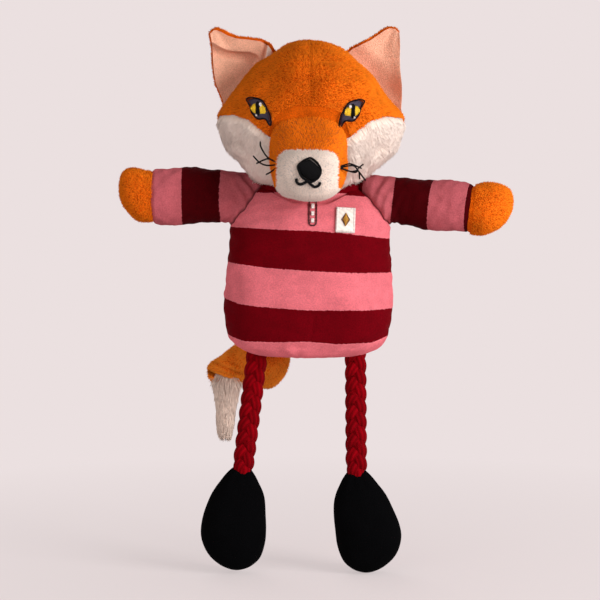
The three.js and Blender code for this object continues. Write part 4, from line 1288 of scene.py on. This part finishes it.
def clearOfNose(points, u):
    # The white part of the muzzle, outside the nose and clear of the mouth
    toMouth = np.linalg.norm(points[:, None, ::2] - mouthLine[None, ::3], axis=-1).min(1)
    covered = insideOutline(points[:, 0], points[:, 2], noseOutline) | (toMouth < 1.1)
    return (muzzleWhite(points) > 0.4) & ~(covered & (points[:, 1] < -60))


def muzzleLie(roots):
    # Out from the nose on the front, back over the bridge
    return unit(roots - [nose["x"], -76, nose["z"]]) * 0.6 + [0, 0.3, 0]


def cheekLie(side):
    # Long pile combed down and out from the muzzle, in locks
    def lie(roots):
        sway = waves(roots, 16, 91)
        out = sides[side] * (0.55 + 0.3 * sway)
        return np.stack([out, 0.25 + 0 * sway, -0.95 + 0.2 * waves(roots, 24, 92)], -1) * 2.6
    return lie


for half, (seed, turns) in head["halves"].items():
    addPile(f"head_pile_{half}", inHead, headSurface, orangePile, {**head["pile"], "seed": seed}, clearOfFace,
            faceLie, turns, body="head", slot="orange_plush")
addPile("muzzle_pile_orange", inHead, muzzleSurface, orangePile, muzzle["orangePile"], muzzleOrange,
        muzzleLie, body="head", slot="orange_plush")
addPile("muzzle_pile_white", inHead, muzzleSurface, whitePile, muzzle["whitePile"], clearOfNose, muzzleLie,
        body="head", slot="white_pile")
for side, turns in cheeks["turns"].items():
    addPile(f"cheek_pile_{side}", inHead, cheekSurface(), whitePile, cheeks["pile"],
            lambda points, u: points[:, 2] > -2, cheekLie(side), turns, body="head", slot="white_pile")


# Embroidery: filled with straight satin stitches, edged with a laid thread

surroundThread = threadMaterial("rayon_thread_grey_purple", "#3A2F42")
dullFinish = {"Roughness": 0.75, "Specular IOR Level": 0.12}
blackThread = threadMaterial("rayon_thread_black", "#060506", finish=dullFinish)
irisThread = threadMaterial("rayon_thread_yellow", "#F2C51A")
whiteThread = threadMaterial("rayon_thread_white", "#F6ECE6")
onFace = frontMap(headSurface, -55, 50, 25, 75, fromU=-np.pi, toU=0)
onMuzzle = frontMap(muzzleSurface, -27, 27, -14, 32, fromV=0.3, toV=0.999)
face = {"onCloth": onFace, "put": inHead, "body": "head"}
muzzleFront = {"onCloth": onMuzzle, "put": inHead, "body": "head"}
for side, sign in sides.items():
    # Each layer of stitches lies higher than the last. An oval is its half sizes and its place in the eye
    addSatin(f"eye_ground_{side}", eyeShape(side, eyeOutline), surroundThread, 35 * sign, 1.5, **face,
             nodes=[f"eye_surround_{side}"], slot="dark_thread")
    edge = eyeShape(side, roundPath(eyes["outline"], 140, closed=True))
    addLaidThread(f"eye_edge_{side}", [edge], blackThread, 1.7, 0.5, **face, slot="dark_thread")
    iris = eyeShape(side, roundPath(eyes["iris"], 60, closed=True)[:-1])
    addSatin(f"eye_yellow_{side}", iris, irisThread, 80 * sign, 2.3, **face, nodes=[f"eye_iris_{side}"],
             slot="yellow_thread")
    x, z = eyes["at"][side]
    slit, glint, fleck = [
        ovalOf(halfWidth, halfHeight, x + toX * sign, z + toZ)
        for halfWidth, halfHeight, toX, toZ in (eyes["pupil"], eyes["glint"], eyes["fleck"])
    ]
    addSatin(f"eye_slit_{side}", slit, blackThread, 0, 2.9, **face, nodes=[f"eye_pupil_{side}"],
             slot="black_thread")
    for name, oval, radius in (("glint", glint, 0.4), ("fleck", fleck, 0.35)):
        addSatin(f"eye_{name}_{side}", oval, whiteThread, 90, 3.1, **face, pitch=0.5, radius=radius,
                 slot="white_thread")
addSatin("nose_satin", noseOutline, blackThread, 68, 3.0, **muzzleFront, pitch=0.78, radius=0.5,
         nodes=["nose"], slot="black_thread")
addLaidThread("nose_edge", [np.vstack([noseOutline, noseOutline[:1]])], blackThread, 1.9, 0.75, **muzzleFront,
              slot="black_thread")
addLaidThread("mouth_line", [mouthLine], blackThread, 1.3, 0.95, **muzzleFront, nodes=["mouth_stitching"],
              slot="black_thread")

# Whiskers: black thread knotted into the sides of the muzzle, and free at its ends
whiskers = {
    "radius": 0.55,
    "right": [
        [[-20.0, -64, 11.5], [-28.2, -60, 15.8], [-33, -55, 22.7], [-33.9, -51, 27.3]],
        [[-20.0, -64, 11.3], [-28.2, -61, 10.3], [-33.9, -56, 12.4], [-38.8, -51, 17.2]],
        [[-20.2, -64, 11.5], [-27.2, -60, 14.8], [-31.4, -58, 14.0], [-36.4, -53, 11.7]],
        [[-20.4, -64, 9.4], [-23.7, -62, 7.6], [-26.5, -60, 5.6], [-29.5, -57, 4.1]],
    ],
    "left": [
        [[21.0, -64, 9.8], [25.5, -62, 11.6], [29.5, -60, 12.1], [37, -53, 9.3]],
        [[21.0, -64, 9.6], [31.9, -59, 6.4], [34.6, -57, 9.6], [38.1, -53, 12.4]],
        [[21.0, -64, 9.4], [30.5, -60, 11], [34.4, -57, 7.5], [39.9, -51, 0.9]],
        [[21.2, -64, 9.2], [29.0, -61, 7.0], [34.4, -58, 7.5], [35.5, -55, 1.8]],
    ],
}
for side in sides:
    name = f"whisker_threads_{side}"
    paths = np.array([roundPath(points, 40) for points in whiskers[side]])
    mesh = tubeMesh(name, inHead, paths, np.broadcast_to(-depthAxis, paths.shape), whiskers["radius"], 8)
    addPiece(name, mesh, blackThread, body="head", nodes=[f"whiskers_{side}"], slot="black_thread")
print("head is made")


# Chest: chain-stitched placket with three button stitches, and a small cloth patch

placket = {"x": 1.5, "half": 2.6, "top": 116, "bottom": 96.6, "link": 2.1, "swing": 0.35, "radius": 0.32}
buttons = {"heights": [110.3, 105.2, 100.2], "width": 1.9, "height": 3.4}
patch = {
    "x": 24.9,
    "z": 100.7,
    "width": 13,
    "height": 17,
    "roll": 2,
    "thick": 0.8,
    "rib": 1.4,
    "edging": {"pitch": 0.62, "out": 0.45, "in": 1.3, "lift": 1.5, "radius": 0.36},
    "motif": [2.8, 4.5],
}
onChest = frontMap(jerseySurface, -45, 45, 60, 121, fromU=-np.pi, toU=0)
chest = {"onCloth": onChest, "put": inTorso, "body": "torso"}
maroonThread = threadMaterial("cotton_thread_maroon", "#4A0006")
goldThread = threadMaterial("rayon_thread_gold", "#C08A2C")
brownThread = threadMaterial("rayon_thread_brown", "#5A2A1A")
half, bottom = placket["half"], placket["bottom"]
down = [
    [-half, placket["top"]], [-half, bottom + half + 5], [-half, bottom + half],
    [-half * 0.7, bottom + half * 0.2],
]
up = [[-x, z] for x, z in down[::-1]]
line = roundPath([*down, [0, bottom], *up], 260) + [placket["x"], 0]
run = np.r_[0, np.cumsum(np.linalg.norm(np.diff(line, axis=0), axis=1))]
across = unit(np.gradient(line, axis=0))[:, ::-1] * [1, -1]
swing = placket["swing"] * np.sin(run * np.pi / placket["link"])[:, None]
addLaidThread("placket_chain", [line + across * swing, line - across * swing], maroonThread, 0.45,
              placket["radius"], **chest, nodes=["placket_stitching"], slot="maroon_thread")
square = np.array([[-1, -1], [1, -1], [1, 1], [-1, 1]])
for index, z in enumerate(buttons["heights"]):
    corners = square * [buttons["width"] / 2, buttons["height"] / 2] + [placket["x"], z]
    addSatin(f"button_bar_{index + 1}", corners, whiteThread, 90, 1.1, **chest, pitch=0.5, radius=0.36,
             nodes=[f"placket_button_{index + 1}"], slot="white_thread")


def onPatch(a, b):
    # Turns places on the patch to x and z on the chest
    angle = math.radians(patch["roll"])
    x = patch["x"] + a * math.cos(angle) + b * math.sin(angle)
    return x, patch["z"] - a * math.sin(angle) + b * math.cos(angle)


def patchMaterial():
    # Bleached cotton twill: fine slanted ribs
    material, tree, shader = startMaterial("cotton_twill_cream", {"Roughness": 0.85, "Sheen Weight": 0.1})
    coordinates = addNode(tree, "ShaderNodeTexCoord").outputs["Object"]
    turned = addNode(tree, "ShaderNodeMapping", {"Vector": coordinates, "Rotation": (0, 0.9, 0)}).outputs[0]
    inputs = {"Vector": turned, "Scale": 1 / (patch["rib"] * mm) / 6.28, "Distortion": 0.6}
    ribs = addNode(tree, "ShaderNodeTexWave", inputs).outputs["Fac"]
    colour = toned(tree, linear("#F4ECE2"), grain(tree, 4), 0.94, 1.04)
    tree.links.new(toned(tree, colour, ribs, 0.9, 1.03, 0, 1), shader.inputs["Base Color"])
    relief(tree, shader, [(ribs, 0.12)])
    return material


a, b = np.meshgrid(np.linspace(-1, 1, 40), np.linspace(-1, 1, 48))
x, z = onPatch(a * patch["width"] / 2, b * patch["height"] / 2)
places, outs = onChest(x, z)
edge = patch["thick"] * (1 - np.maximum(np.abs(a), np.abs(b)) ** 12 * 0.5)
front = inTorso(places + outs * (0.5 + edge)[..., None])
addPiece("patch_cloth", shellForm("patch_cloth", front, inTorso(places - outs * 0.2)), patchMaterial(),
         body="torso", nodes=["badge_patch"], slot="white_thread")

# Overlock stitches round the patch, from the bottom left corner on
edging = patch["edging"]
corners = np.vstack([square, square[:1]]) * [patch["width"] / 2, patch["height"] / 2]
toCorner = np.r_[0, np.cumsum(np.linalg.norm(np.diff(corners, axis=0), axis=1))]
way = np.arange(0.3, toCorner[-1], edging["pitch"])
rim = np.stack([np.interp(way, toCorner, corners[:, 0]), np.interp(way, toCorner, corners[:, 1])], -1)
inward = np.array([[0, 1], [-1, 0], [0, -1], [1, 0]])[np.searchsorted(toCorner[1:4], way, side="right")]
overlock = np.stack([rim - inward * edging["out"], rim + inward * edging["in"]], 1)
overlock = np.stack(onPatch(overlock[..., 0], overlock[..., 1]), -1)
paths, outs = stitchPaths(overlock, onChest, edging["lift"])
addPiece("patch_edging", tubeMesh("patch_edging", inTorso, paths, outs, edging["radius"], 6, 0.8),
         whiteThread, body="torso", slot="white_thread")

# A lozenge in satin stitch, edged with a laid thread
halfA, halfB = patch["motif"]
lozenge = np.array([[0, -halfB], [halfA, 0], [0, halfB], [-halfA, 0]])
lozenge = np.stack(onPatch(lozenge[:, 0], lozenge[:, 1]), -1)
addSatin("motif_satin", lozenge, goldThread, 0, 2.1, **chest, pitch=0.6, radius=0.36, nodes=["badge_motif"],
         slot="gold_thread")
runs = [np.linspace(lozenge[i], lozenge[(i + 1) % 4], 14)[:-1] for i in range(4)]
addLaidThread("motif_edge", [np.vstack([*runs, lozenge[:1]])], brownThread, 1.6, 0.33, **chest,
              slot="gold_thread")
print("chest is sewn")


# Ears: a cupped pad of plush with a peach lining. Edges are distances from the ear's middle line at heights
# above the fold, towards the crown and outwards
ears = {
    "thickness": 3.6,
    "cup": 6,
    "hollow": 3.5,
    "root": 7,
    "left": {
        "height": 37.8,
        "heights": [-7, -1, 5, 11, 18, 24, 30, 34, 36, 37, 37.8],
        "inner": [-27, -29.4, -28.8, -26.4, -23.9, -22.6, -21.4, -19.8, -17.2, -15.4, -13],
        "outer": [37, 28.4, 23.2, 17, 8.4, 2.1, -3.6, -7.8, -10.2, -11.3, -12.8],
        "flap": 0,
    },
    "right": {
        "height": 41,
        "heights": [-7, -1, 5, 11, 18, 24, 30, 35, 38.5, 40, 41],
        "inner": [-27, -30, -30.8, -28.6, -22.8, -17.4, -14, -12.4, -10.6, -8.9, -5.2],
        "outer": [27, 23.2, 21, 18.8, 14.2, 9.5, 4.6, 0.4, -1.9, -3, -4.6],
        "flap": 1,
    },
    "rims": {"left": [1.6, 0.1], "right": [2.3, 0.9]},
    "barren": {"left": 0.6, "right": -0.22},
    "liningGap": 1.4,
    "liningFrom": -6.5,
    "liningMiddle": 1.95,
    "liningPuff": 0.7,
    "liningLumps": [[0.35, 14, 97]],
    "rimWave": 0.9,
    "flapFold": 5.2,
    "flapHollow": 2.4,
    "dart": {"at": (-27.5, 7), "line": (0.581, 0.814), "depth": 3.5, "width": 1.5},
    "bend": (-5, 7),
    "pile": {"count": 16000, "length": 1.6, "width": 0.85, "bends": 1, "seed": 98},
}


def earEdges(side, rise):
    return [np.interp(rise, ears[side]["heights"], ears[side][key]) for key in ("inner", "outer")]


def dartPlace(x, rise):
    # The small dart at the foot of the flap: the distances over the dart's line and along it
    (atX, atRise), (overX, overRise) = ears["dart"]["at"], ears["dart"]["line"]
    return (x - atX) * overX + (rise - atRise) * overRise, (x - atX) * overRise - (rise - atRise) * overX


def flapFold(x, rise, fromInner):
    # How far back the folded edge, the hollow beside it and the dart at its foot lie
    dart = ears["dart"]
    over, way = dartPlace(x, rise)
    folded = smooth(14.6, 13.2, fromInner + 0.8 * np.sin(rise * 0.25)) * smooth(-6, 4, rise)
    hollow = bump(fromInner - 17.5, 3.2) * within(rise, -2, 6, 28, 36)
    pinched = bump(over, dart["width"]) * within(way, -3, 1, 7, 11)
    return ears["flapHollow"] * hollow - ears["flapFold"] * folded + dart["depth"] * pinched


def earPlace(side, share, rise, forward=0.0):
    # The middle of the ear's thickness: share runs from the inner edge at -1 to the outer at 1. The ear is
    # cupped, its edges wave, and on one side the upper inner edge folds forward
    inner, outer = earEdges(side, rise)
    x = (inner + outer) / 2 + share * (outer - inner) / 2
    up = np.clip(rise / ears[side]["height"], 0, 1)
    y = ears["cup"] * (1 - share**2) * (1 - up**2) + ears["hollow"] * smooth(15, 1, rise) - forward
    y += ears["rimWave"] * np.sin(rise * 0.3 + 1.2 * sides[side]) * share**2 * up
    y += ears[side]["flap"] * flapFold(x, rise, (share + 1) * (outer - inner) / 2)
    return np.stack([sides[side] * x, y, rise], -1)


def earSurface(side, rounded=0.04):
    # Thin rounded sections up the ear, turned the same way on both sides
    def surface(u, v):
        rise = -ears["root"] + v * (ears[side]["height"] + ears["root"])
        share, thick = ringAt(sides[side] * u, 1.0, 1.0, 2.0)
        ends = np.sqrt(np.clip(1 - (np.clip(v - 1 + rounded, 0, rounded) / rounded) ** 2, 0, 1))
        return earPlace(side, share, rise) + depthAxis * (thick * ears["thickness"] / 2 * ends)[..., None]
    return surface


def liningMesh(name, side, put):
    # The lining lies on the ear inside its rims. pale marks the cut edge that shows in the dart
    top = ears[side]["height"] - ears["liningGap"]
    share, rise = np.meshgrid(np.linspace(0, 1, 150), np.linspace(ears["liningFrom"], top, 110))
    inner, outer = earEdges(side, rise)
    width = np.maximum(outer - inner, 5)
    innerRim, outerRim = ears["rims"][side]
    share = 2 * (innerRim + share * (width - innerRim - outerRim)) / width - 1
    over, way = dartPlace((inner + outer) / 2 + share * (outer - inner) / 2, rise)
    pale = ears[side]["flap"] * within(over, -5.2, -4.2, -2, -1.2) * within(way, -4, -2, 8, 12)
    toEdge = np.maximum(np.abs(share), (rise - ears["liningFrom"]) / 45)
    puff = ears["liningPuff"] * np.sqrt(np.clip(1 - toEdge**6, 0, 1))
    uneven = lumps(np.stack([share * 20, rise, rise * 0], -1), ears["liningLumps"])
    front = earPlace(side, share, rise, ears["liningMiddle"] + puff) + depthAxis * uneven[..., None]
    back = earPlace(side, share, rise, 0.6)
    front, back, pale = [grid[:, ::sides[side]] for grid in (front, back, pale)]
    return shellForm(name, put(front), put(back), {"pale": pale})


def onEarBack(side):
    # Orange pile covers the back and the rims: how far round to the front differs between the two edges
    def keep(points, u):
        return np.sin(sides[side] * u) > np.where(np.cos(u) > 0, ears["barren"][side], -0.22)
    return keep


# Short-pile velboa in peach: almost smooth, with a soft light along its folds
peachPlush = plushMaterial("polyester_velboa_peach", "#EDB093", 0.9, "#F6E3D6")
for side in sides:
    joint = joints[f"ear_{side}_fold"]
    inEar = place(np.array(joint["pos_m"]), axesFromX(joint["axis"]))
    bends = ("head", f"ear_{side}", *bendEnds(inEar, 2, *ears["bend"]))
    addForm(f"ear_plush_{side}", inEar, earSurface(side)(*gridOf(120, 200)), orangePlush, between=bends,
            nodes=[f"ear_back_{side}"], slot="orange_plush", fill=0.4)
    name = f"ear_lining_plush_{side}"
    addPiece(name, liningMesh(name, side, inEar), peachPlush, between=bends, nodes=[f"ear_lining_{side}"],
             slot="peach_plush", fill=0.2)
    addPile(f"ear_pile_{side}", inEar, earSurface(side), orangePile, ears["pile"], onEarBack(side),
            (0, 0, 0.6), between=bends, slot="orange_plush")
print("ears are made")


# Legs: thick cotton rope, a plait of three fat strands

rope = {
    "pitch": 31.2,
    "sway": 3.2,
    "depth": 2.7,
    "strand": 4.8,
    "colour": "#80000A",
    "taper": [70, 78],
    "lap": 0.8,
    "slant": 1.17,
    "stepsPerMillimetre": 2.4,
}
ropeFinish = {"Roughness": 0.9, "Sheen Weight": 0.15, "Sheen Roughness": 0.4, "Specular IOR Level": 0.04}
ropeMaterial = threadMaterial("cotton_rope_red", rope["colour"], 11, 9, 0.4, ropeFinish)

# Stretches of rope: from and to along the leg, whose first 17 mm are inside the body. Then the bodies that a
# stretch joins, where it bends between them, and the node that it replaces
legs = {
    "aside": {"left": -0.8, "right": -2},
    "stretches": {
        "hip": [-17, 18.5, "torso", "thigh", (-7, 9), "upper"],
        "knee": [18.5, 55.5, "thigh", "shin", (28, 46), "lower"],
        "ankle": [55.5, 79, "shin", None, None, None],
    },
}


def braid(start, end, steps):
    # Three strands along the third axis: each sways from side to side once a pitch and in and out twice, so
    # that it goes over one neighbour and under the other
    way = np.linspace(start, end, steps)
    drawnIn = 1 - 0.5 * smooth(*rope["taper"], way)
    paths = []
    for strand in range(3):
        angle = 2 * np.pi * (way / rope["pitch"] + strand / 3)
        sway = rope["sway"] * np.sin(angle) * drawnIn
        depth = rope["depth"] * np.sin(2 * angle) * drawnIn
        paths.append(np.stack([sway, depth, way], -1))
    return np.array(paths), np.broadcast_to([0.0, 1.0, 0.0], (3, steps, 3))


def downFrom(name, axes):
    # Places that hang from a joint: the third axis runs down
    return place(np.array(joints[name]["pos_m"]), axes * [1, -1, -1])


feet = {
    "length": 76, "width": 49, "depth": 34, "fullness": 2.1, "inset": 0.8,
    "rows": [
        [0, 0.2, 0.28], [0.005, 0.3, 0.42], [0.08, 0.5, 0.56], [0.2, 0.73, 0.72], [0.3, 0.86, 0.84],
        [0.45, 0.95, 0.95], [0.6, 1.01, 1], [0.7, 1, 0.99], [0.8, 0.91, 0.93], [0.88, 0.76, 0.8],
        [0.95, 0.5, 0.56], [0.985, 0.25, 0.3], [1, 0, 0],
    ],
    "bends": {"left": [4.5, 52, 26], "right": [-5.5, 43, 32]},
    "lumps": [[0.5, 30, 51]],
    "seam": 0.6,
    "gather": 0.4,
    "dip": 4,
    "bend": (-2, 10.0),
}
footTable = profile(feet["rows"], feet["length"], feet["width"], feet["depth"], feet["inset"])


def footSurface(side):
    # A teardrop of superellipses that swells to the outer side, with lumps, side seams and a collar that dips
    def surface(u, v):
        s, halfWidth, halfDepth = along(footTable, v)
        x, y = ringAt(u, halfWidth, halfDepth, feet["fullness"])
        points = np.stack([x, y, s], -1)
        fold = lumps(points, feet["lumps"]) * within(s, 4, 20, 60, 76)
        fold -= feet["seam"] * bump(y, 1.2) * smooth(4, 12, np.abs(x))
        fold += feet["gather"] * np.sin(u * 9) * smooth(16, 4, s)
        away = unit(np.stack([x, y, np.zeros_like(x)], -1) + 1e-9)
        sway, middle, width = feet["bends"][side]
        dip = feet["dip"] * (1 - np.abs(np.cos(u))) * smooth(14, 0, s)
        across = sway * bump(s - middle, width) + legs["aside"][side] * smooth(30, 0, s)
        return points + away * fold[..., None] + np.stack([across, np.zeros_like(s), dip], -1)
    return surface


blackFinish = {"Roughness": 1.0, "Sheen Weight": 0.05, "Sheen Roughness": 0.5, "Specular IOR Level": 0.02}
blackVelour = velourMaterial("cotton_velour_black", ["#060607"], blackFinish)
for side in sides:
    inLeg = downFrom(f"hip_{side}", axesFromX(-np.array(joints[f"hip_{side}"]["axis"])))
    inFoot = downFrom(f"ankle_{side}", axesFromX(-np.array(joints[f"ankle_{side}"]["axis"])))
    for stretch, (start, end, carrier, after, bend, node) in legs["stretches"].items():
        carrier = carrier if carrier == "torso" else f"{carrier}_{side}"
        steps = int((end - start) * rope["stepsPerMillimetre"])
        paths, outs = braid(start - rope["lap"], end + rope["lap"], steps)
        paths[..., 0] += legs["aside"][side]
        name = f"rope_{stretch}_{side}"
        mesh = tubeMesh(name, inLeg, paths, outs, rope["strand"], 20, 1.0, 0.6, start * rope["slant"])
        if bend:
            over = (carrier, f"{after}_{side}", *bendEnds(inLeg, 2, *bend))
            addPiece(name, mesh, ropeMaterial, between=over, nodes=[f"rope_{node}_{side}"], slot="red_rope")
        else:
            addPiece(name, mesh, ropeMaterial, body=carrier, slot="red_rope")
    addForm(f"foot_cloth_{side}", inFoot, footSurface(side)(*gridOf(110, 110)), blackVelour,
            between=(f"shin_{side}", f"foot_{side}", *bendEnds(inFoot, 2, *feet["bend"])),
            nodes=[f"foot_{side}"], slot="black_velour", fill=0.85)
print("legs are made")


# Tail: a flat orange brush on a short root, folded over a tip of long white pile

tail = {
    "start": [11, 18, -9], "end": [-49, 17, -28], "height": 49, "depth": 21, "inset": 1.6,
    "rows": [
        [0, 0, 0], [0.008, 0.2, 0.3], [0.03, 0.42, 0.5], [0.1, 0.68, 0.74], [0.2, 0.9, 0.92], [0.32, 1, 1],
        [0.42, 0.92, 1], [0.52, 0.77, 0.98], [0.65, 0.61, 0.92], [0.79, 0.46, 0.85], [0.92, 0.37, 0.68],
        [0.98, 0.24, 0.4], [1, 0, 0],
    ],
    "foldAt": [-46.4, -23.7], "foldTurn": [0.39, 0.921],
    "tipStart": [-34.5, 18.5, -26], "tipEnd": [-35.5, 16, -70],
    "tipWidth": 20, "tipDepth": 15, "tipInset": 2.2,
    "tipRows": [
        [-0.05, 0, 0], [-0.03, 0.6, 0.6], [0.05, 0.95, 0.95], [0.25, 1, 1], [0.5, 0.9, 0.92],
        [0.75, 0.8, 0.84], [0.92, 0.7, 0.7], [0.98, 0.56, 0.5], [1, 0, 0],
    ],
    "lumps": [[0.9, 18, 62]],
    "dent": 7,
    "wrinkle": 0.8,
    "parting": -36,
    "rootStart": [1, -9, 2], "rootEnd": [-3, 20, -6], "rootWidth": 17, "rootLength": 30,
    "rootRows": [[0, 0, 0], [0.02, 0.8, 0.8], [0.1, 1, 1], [0.9, 1, 1], [1, 0, 0]],
    "bend": (-6.0, 7.0),
    "brushPile": {"count": 16000, "length": 2.2, "width": 0.95, "bends": 1, "seed": 87},
    "tipPile": {
        "count": 7000, "length": 10, "width": 1.5, "bends": 3, "seed": 88,
        "droop": 0.1, "spread": 0.13, "softness": 0.6,
    },
}
inTail = place(np.array(joints["tail_wag"]["pos_m"]), torsoAxes)


def layAlong(start, end):
    # The turn that lays a form's third axis along a line, with its second kept near the toy's depth
    forward = unit(np.array(end, float) - np.array(start, float))
    deep = unit(depthAxis - (depthAxis @ forward) * forward)
    turn = np.stack([np.cross(deep, forward), deep, forward], 1)
    return lambda points: np.array(start, float) + points @ turn.T


def formAlong(start, end, rows, width, depth, length=None, inset=0.0):
    # Ellipses up a profile that is laid along a line, as long as the line where no length is given
    length = length or np.linalg.norm(np.array(end) - start)
    table = profile(rows, length, width, depth, inset)

    def surface(u, v):
        s, halfWidth, halfDepth = along(table, v)
        x, y = ringAt(u, halfWidth, halfDepth, 2.0)
        return layAlong(start, end)(np.stack([x, y, s], -1))
    return surface


brushForm = formAlong(tail["start"], tail["end"], tail["rows"], tail["height"], tail["depth"],
                      inset=tail["inset"])
tipSurface = formAlong(tail["tipStart"], tail["tipEnd"], tail["tipRows"], tail["tipWidth"], tail["tipDepth"],
                       inset=tail["tipInset"])
rootSurface = formAlong(tail["rootStart"], tail["rootEnd"], tail["rootRows"], tail["rootWidth"],
                        tail["rootWidth"], tail["rootLength"])


def brushSurface(u, v):
    # The form with a deep fold across its front over the white tip, and wrinkles above the fold
    points = brushForm(u, v)
    x, z = points[..., 0] - tail["foldAt"][0], points[..., 2] - tail["foldAt"][1]
    overX, overZ = tail["foldTurn"]
    over, way = x * overX + z * overZ, x * overZ - z * overX
    dent = tail["dent"] * within(over, -5, -3.8, -0.8, 0.4) * within(way, -4, 1, 12, 20)
    dent += tail["wrinkle"] * np.sin(over * 1.1) * within(over, 0, 3, 7, 16) * smooth(34, 18, way)
    dent += lumps(points, tail["lumps"])
    return points + depthAxis * (dent * smooth(19, 15, points[..., 1]))[..., None]


def tipLie(roots):
    # Combed down, parted into two locks
    apart = 0.3 * np.sign(roots[:, 0] - tail["parting"]) + 0.5 * waves(roots, 9, 63)
    return np.stack([apart, 0 * apart, 0 * apart - 6], -1)


# The brush's plush and pile are lighter copies of the head's orange: painted light, for a tail that lies in shade
# behind the body
brushPlushPaintedLight = plushMaterial("polyester_plush_brush_painted_light", "#FA6E0C")
brushPile = pileMaterial("polyester_pile_brush_painted_light", "#F66A08", "#FF9C34")
# The tail's white pile is a darker copy of the white pile: painted shade
tailPilePaintedShade = pileMaterial("polyester_pile_tail_painted_shade", "#C79C86", "#F6E0D0", 9, 0.1)
addForm("tail_brush_plush", inTail, brushSurface(*gridOf(160, 220)), brushPlushPaintedLight, body="tail",
        nodes=["tail_brush"], slot="orange_plush", fill=0.6)
addForm("tail_tip_plush", inTail, tipSurface(*gridOf(60, 60)), whitePlush, body="tail", nodes=["tail_tip"],
        slot="white_pile", fill=0.6)
addPile("tail_brush_pile", inTail, brushSurface, brushPile, tail["brushPile"], lambda points, u: 1.0,
        (-0.5, 0, -0.6), body="tail", slot="orange_plush")
addPile("tail_tip_pile", inTail, tipSurface, tailPilePaintedShade, tail["tipPile"], lambda points, u: points[:, 2] < -26,
        tipLie, toV=0.9, body="tail", slot="white_pile")
addForm("tail_root_plush", inTail, rootSurface(*gridOf(40, 48)), brushPlushPaintedLight,
        between=("torso", "tail", *bendEnds(inTail, 1, *tail["bend"])), slot="orange_plush", fill=0.6)
print("tail is made")
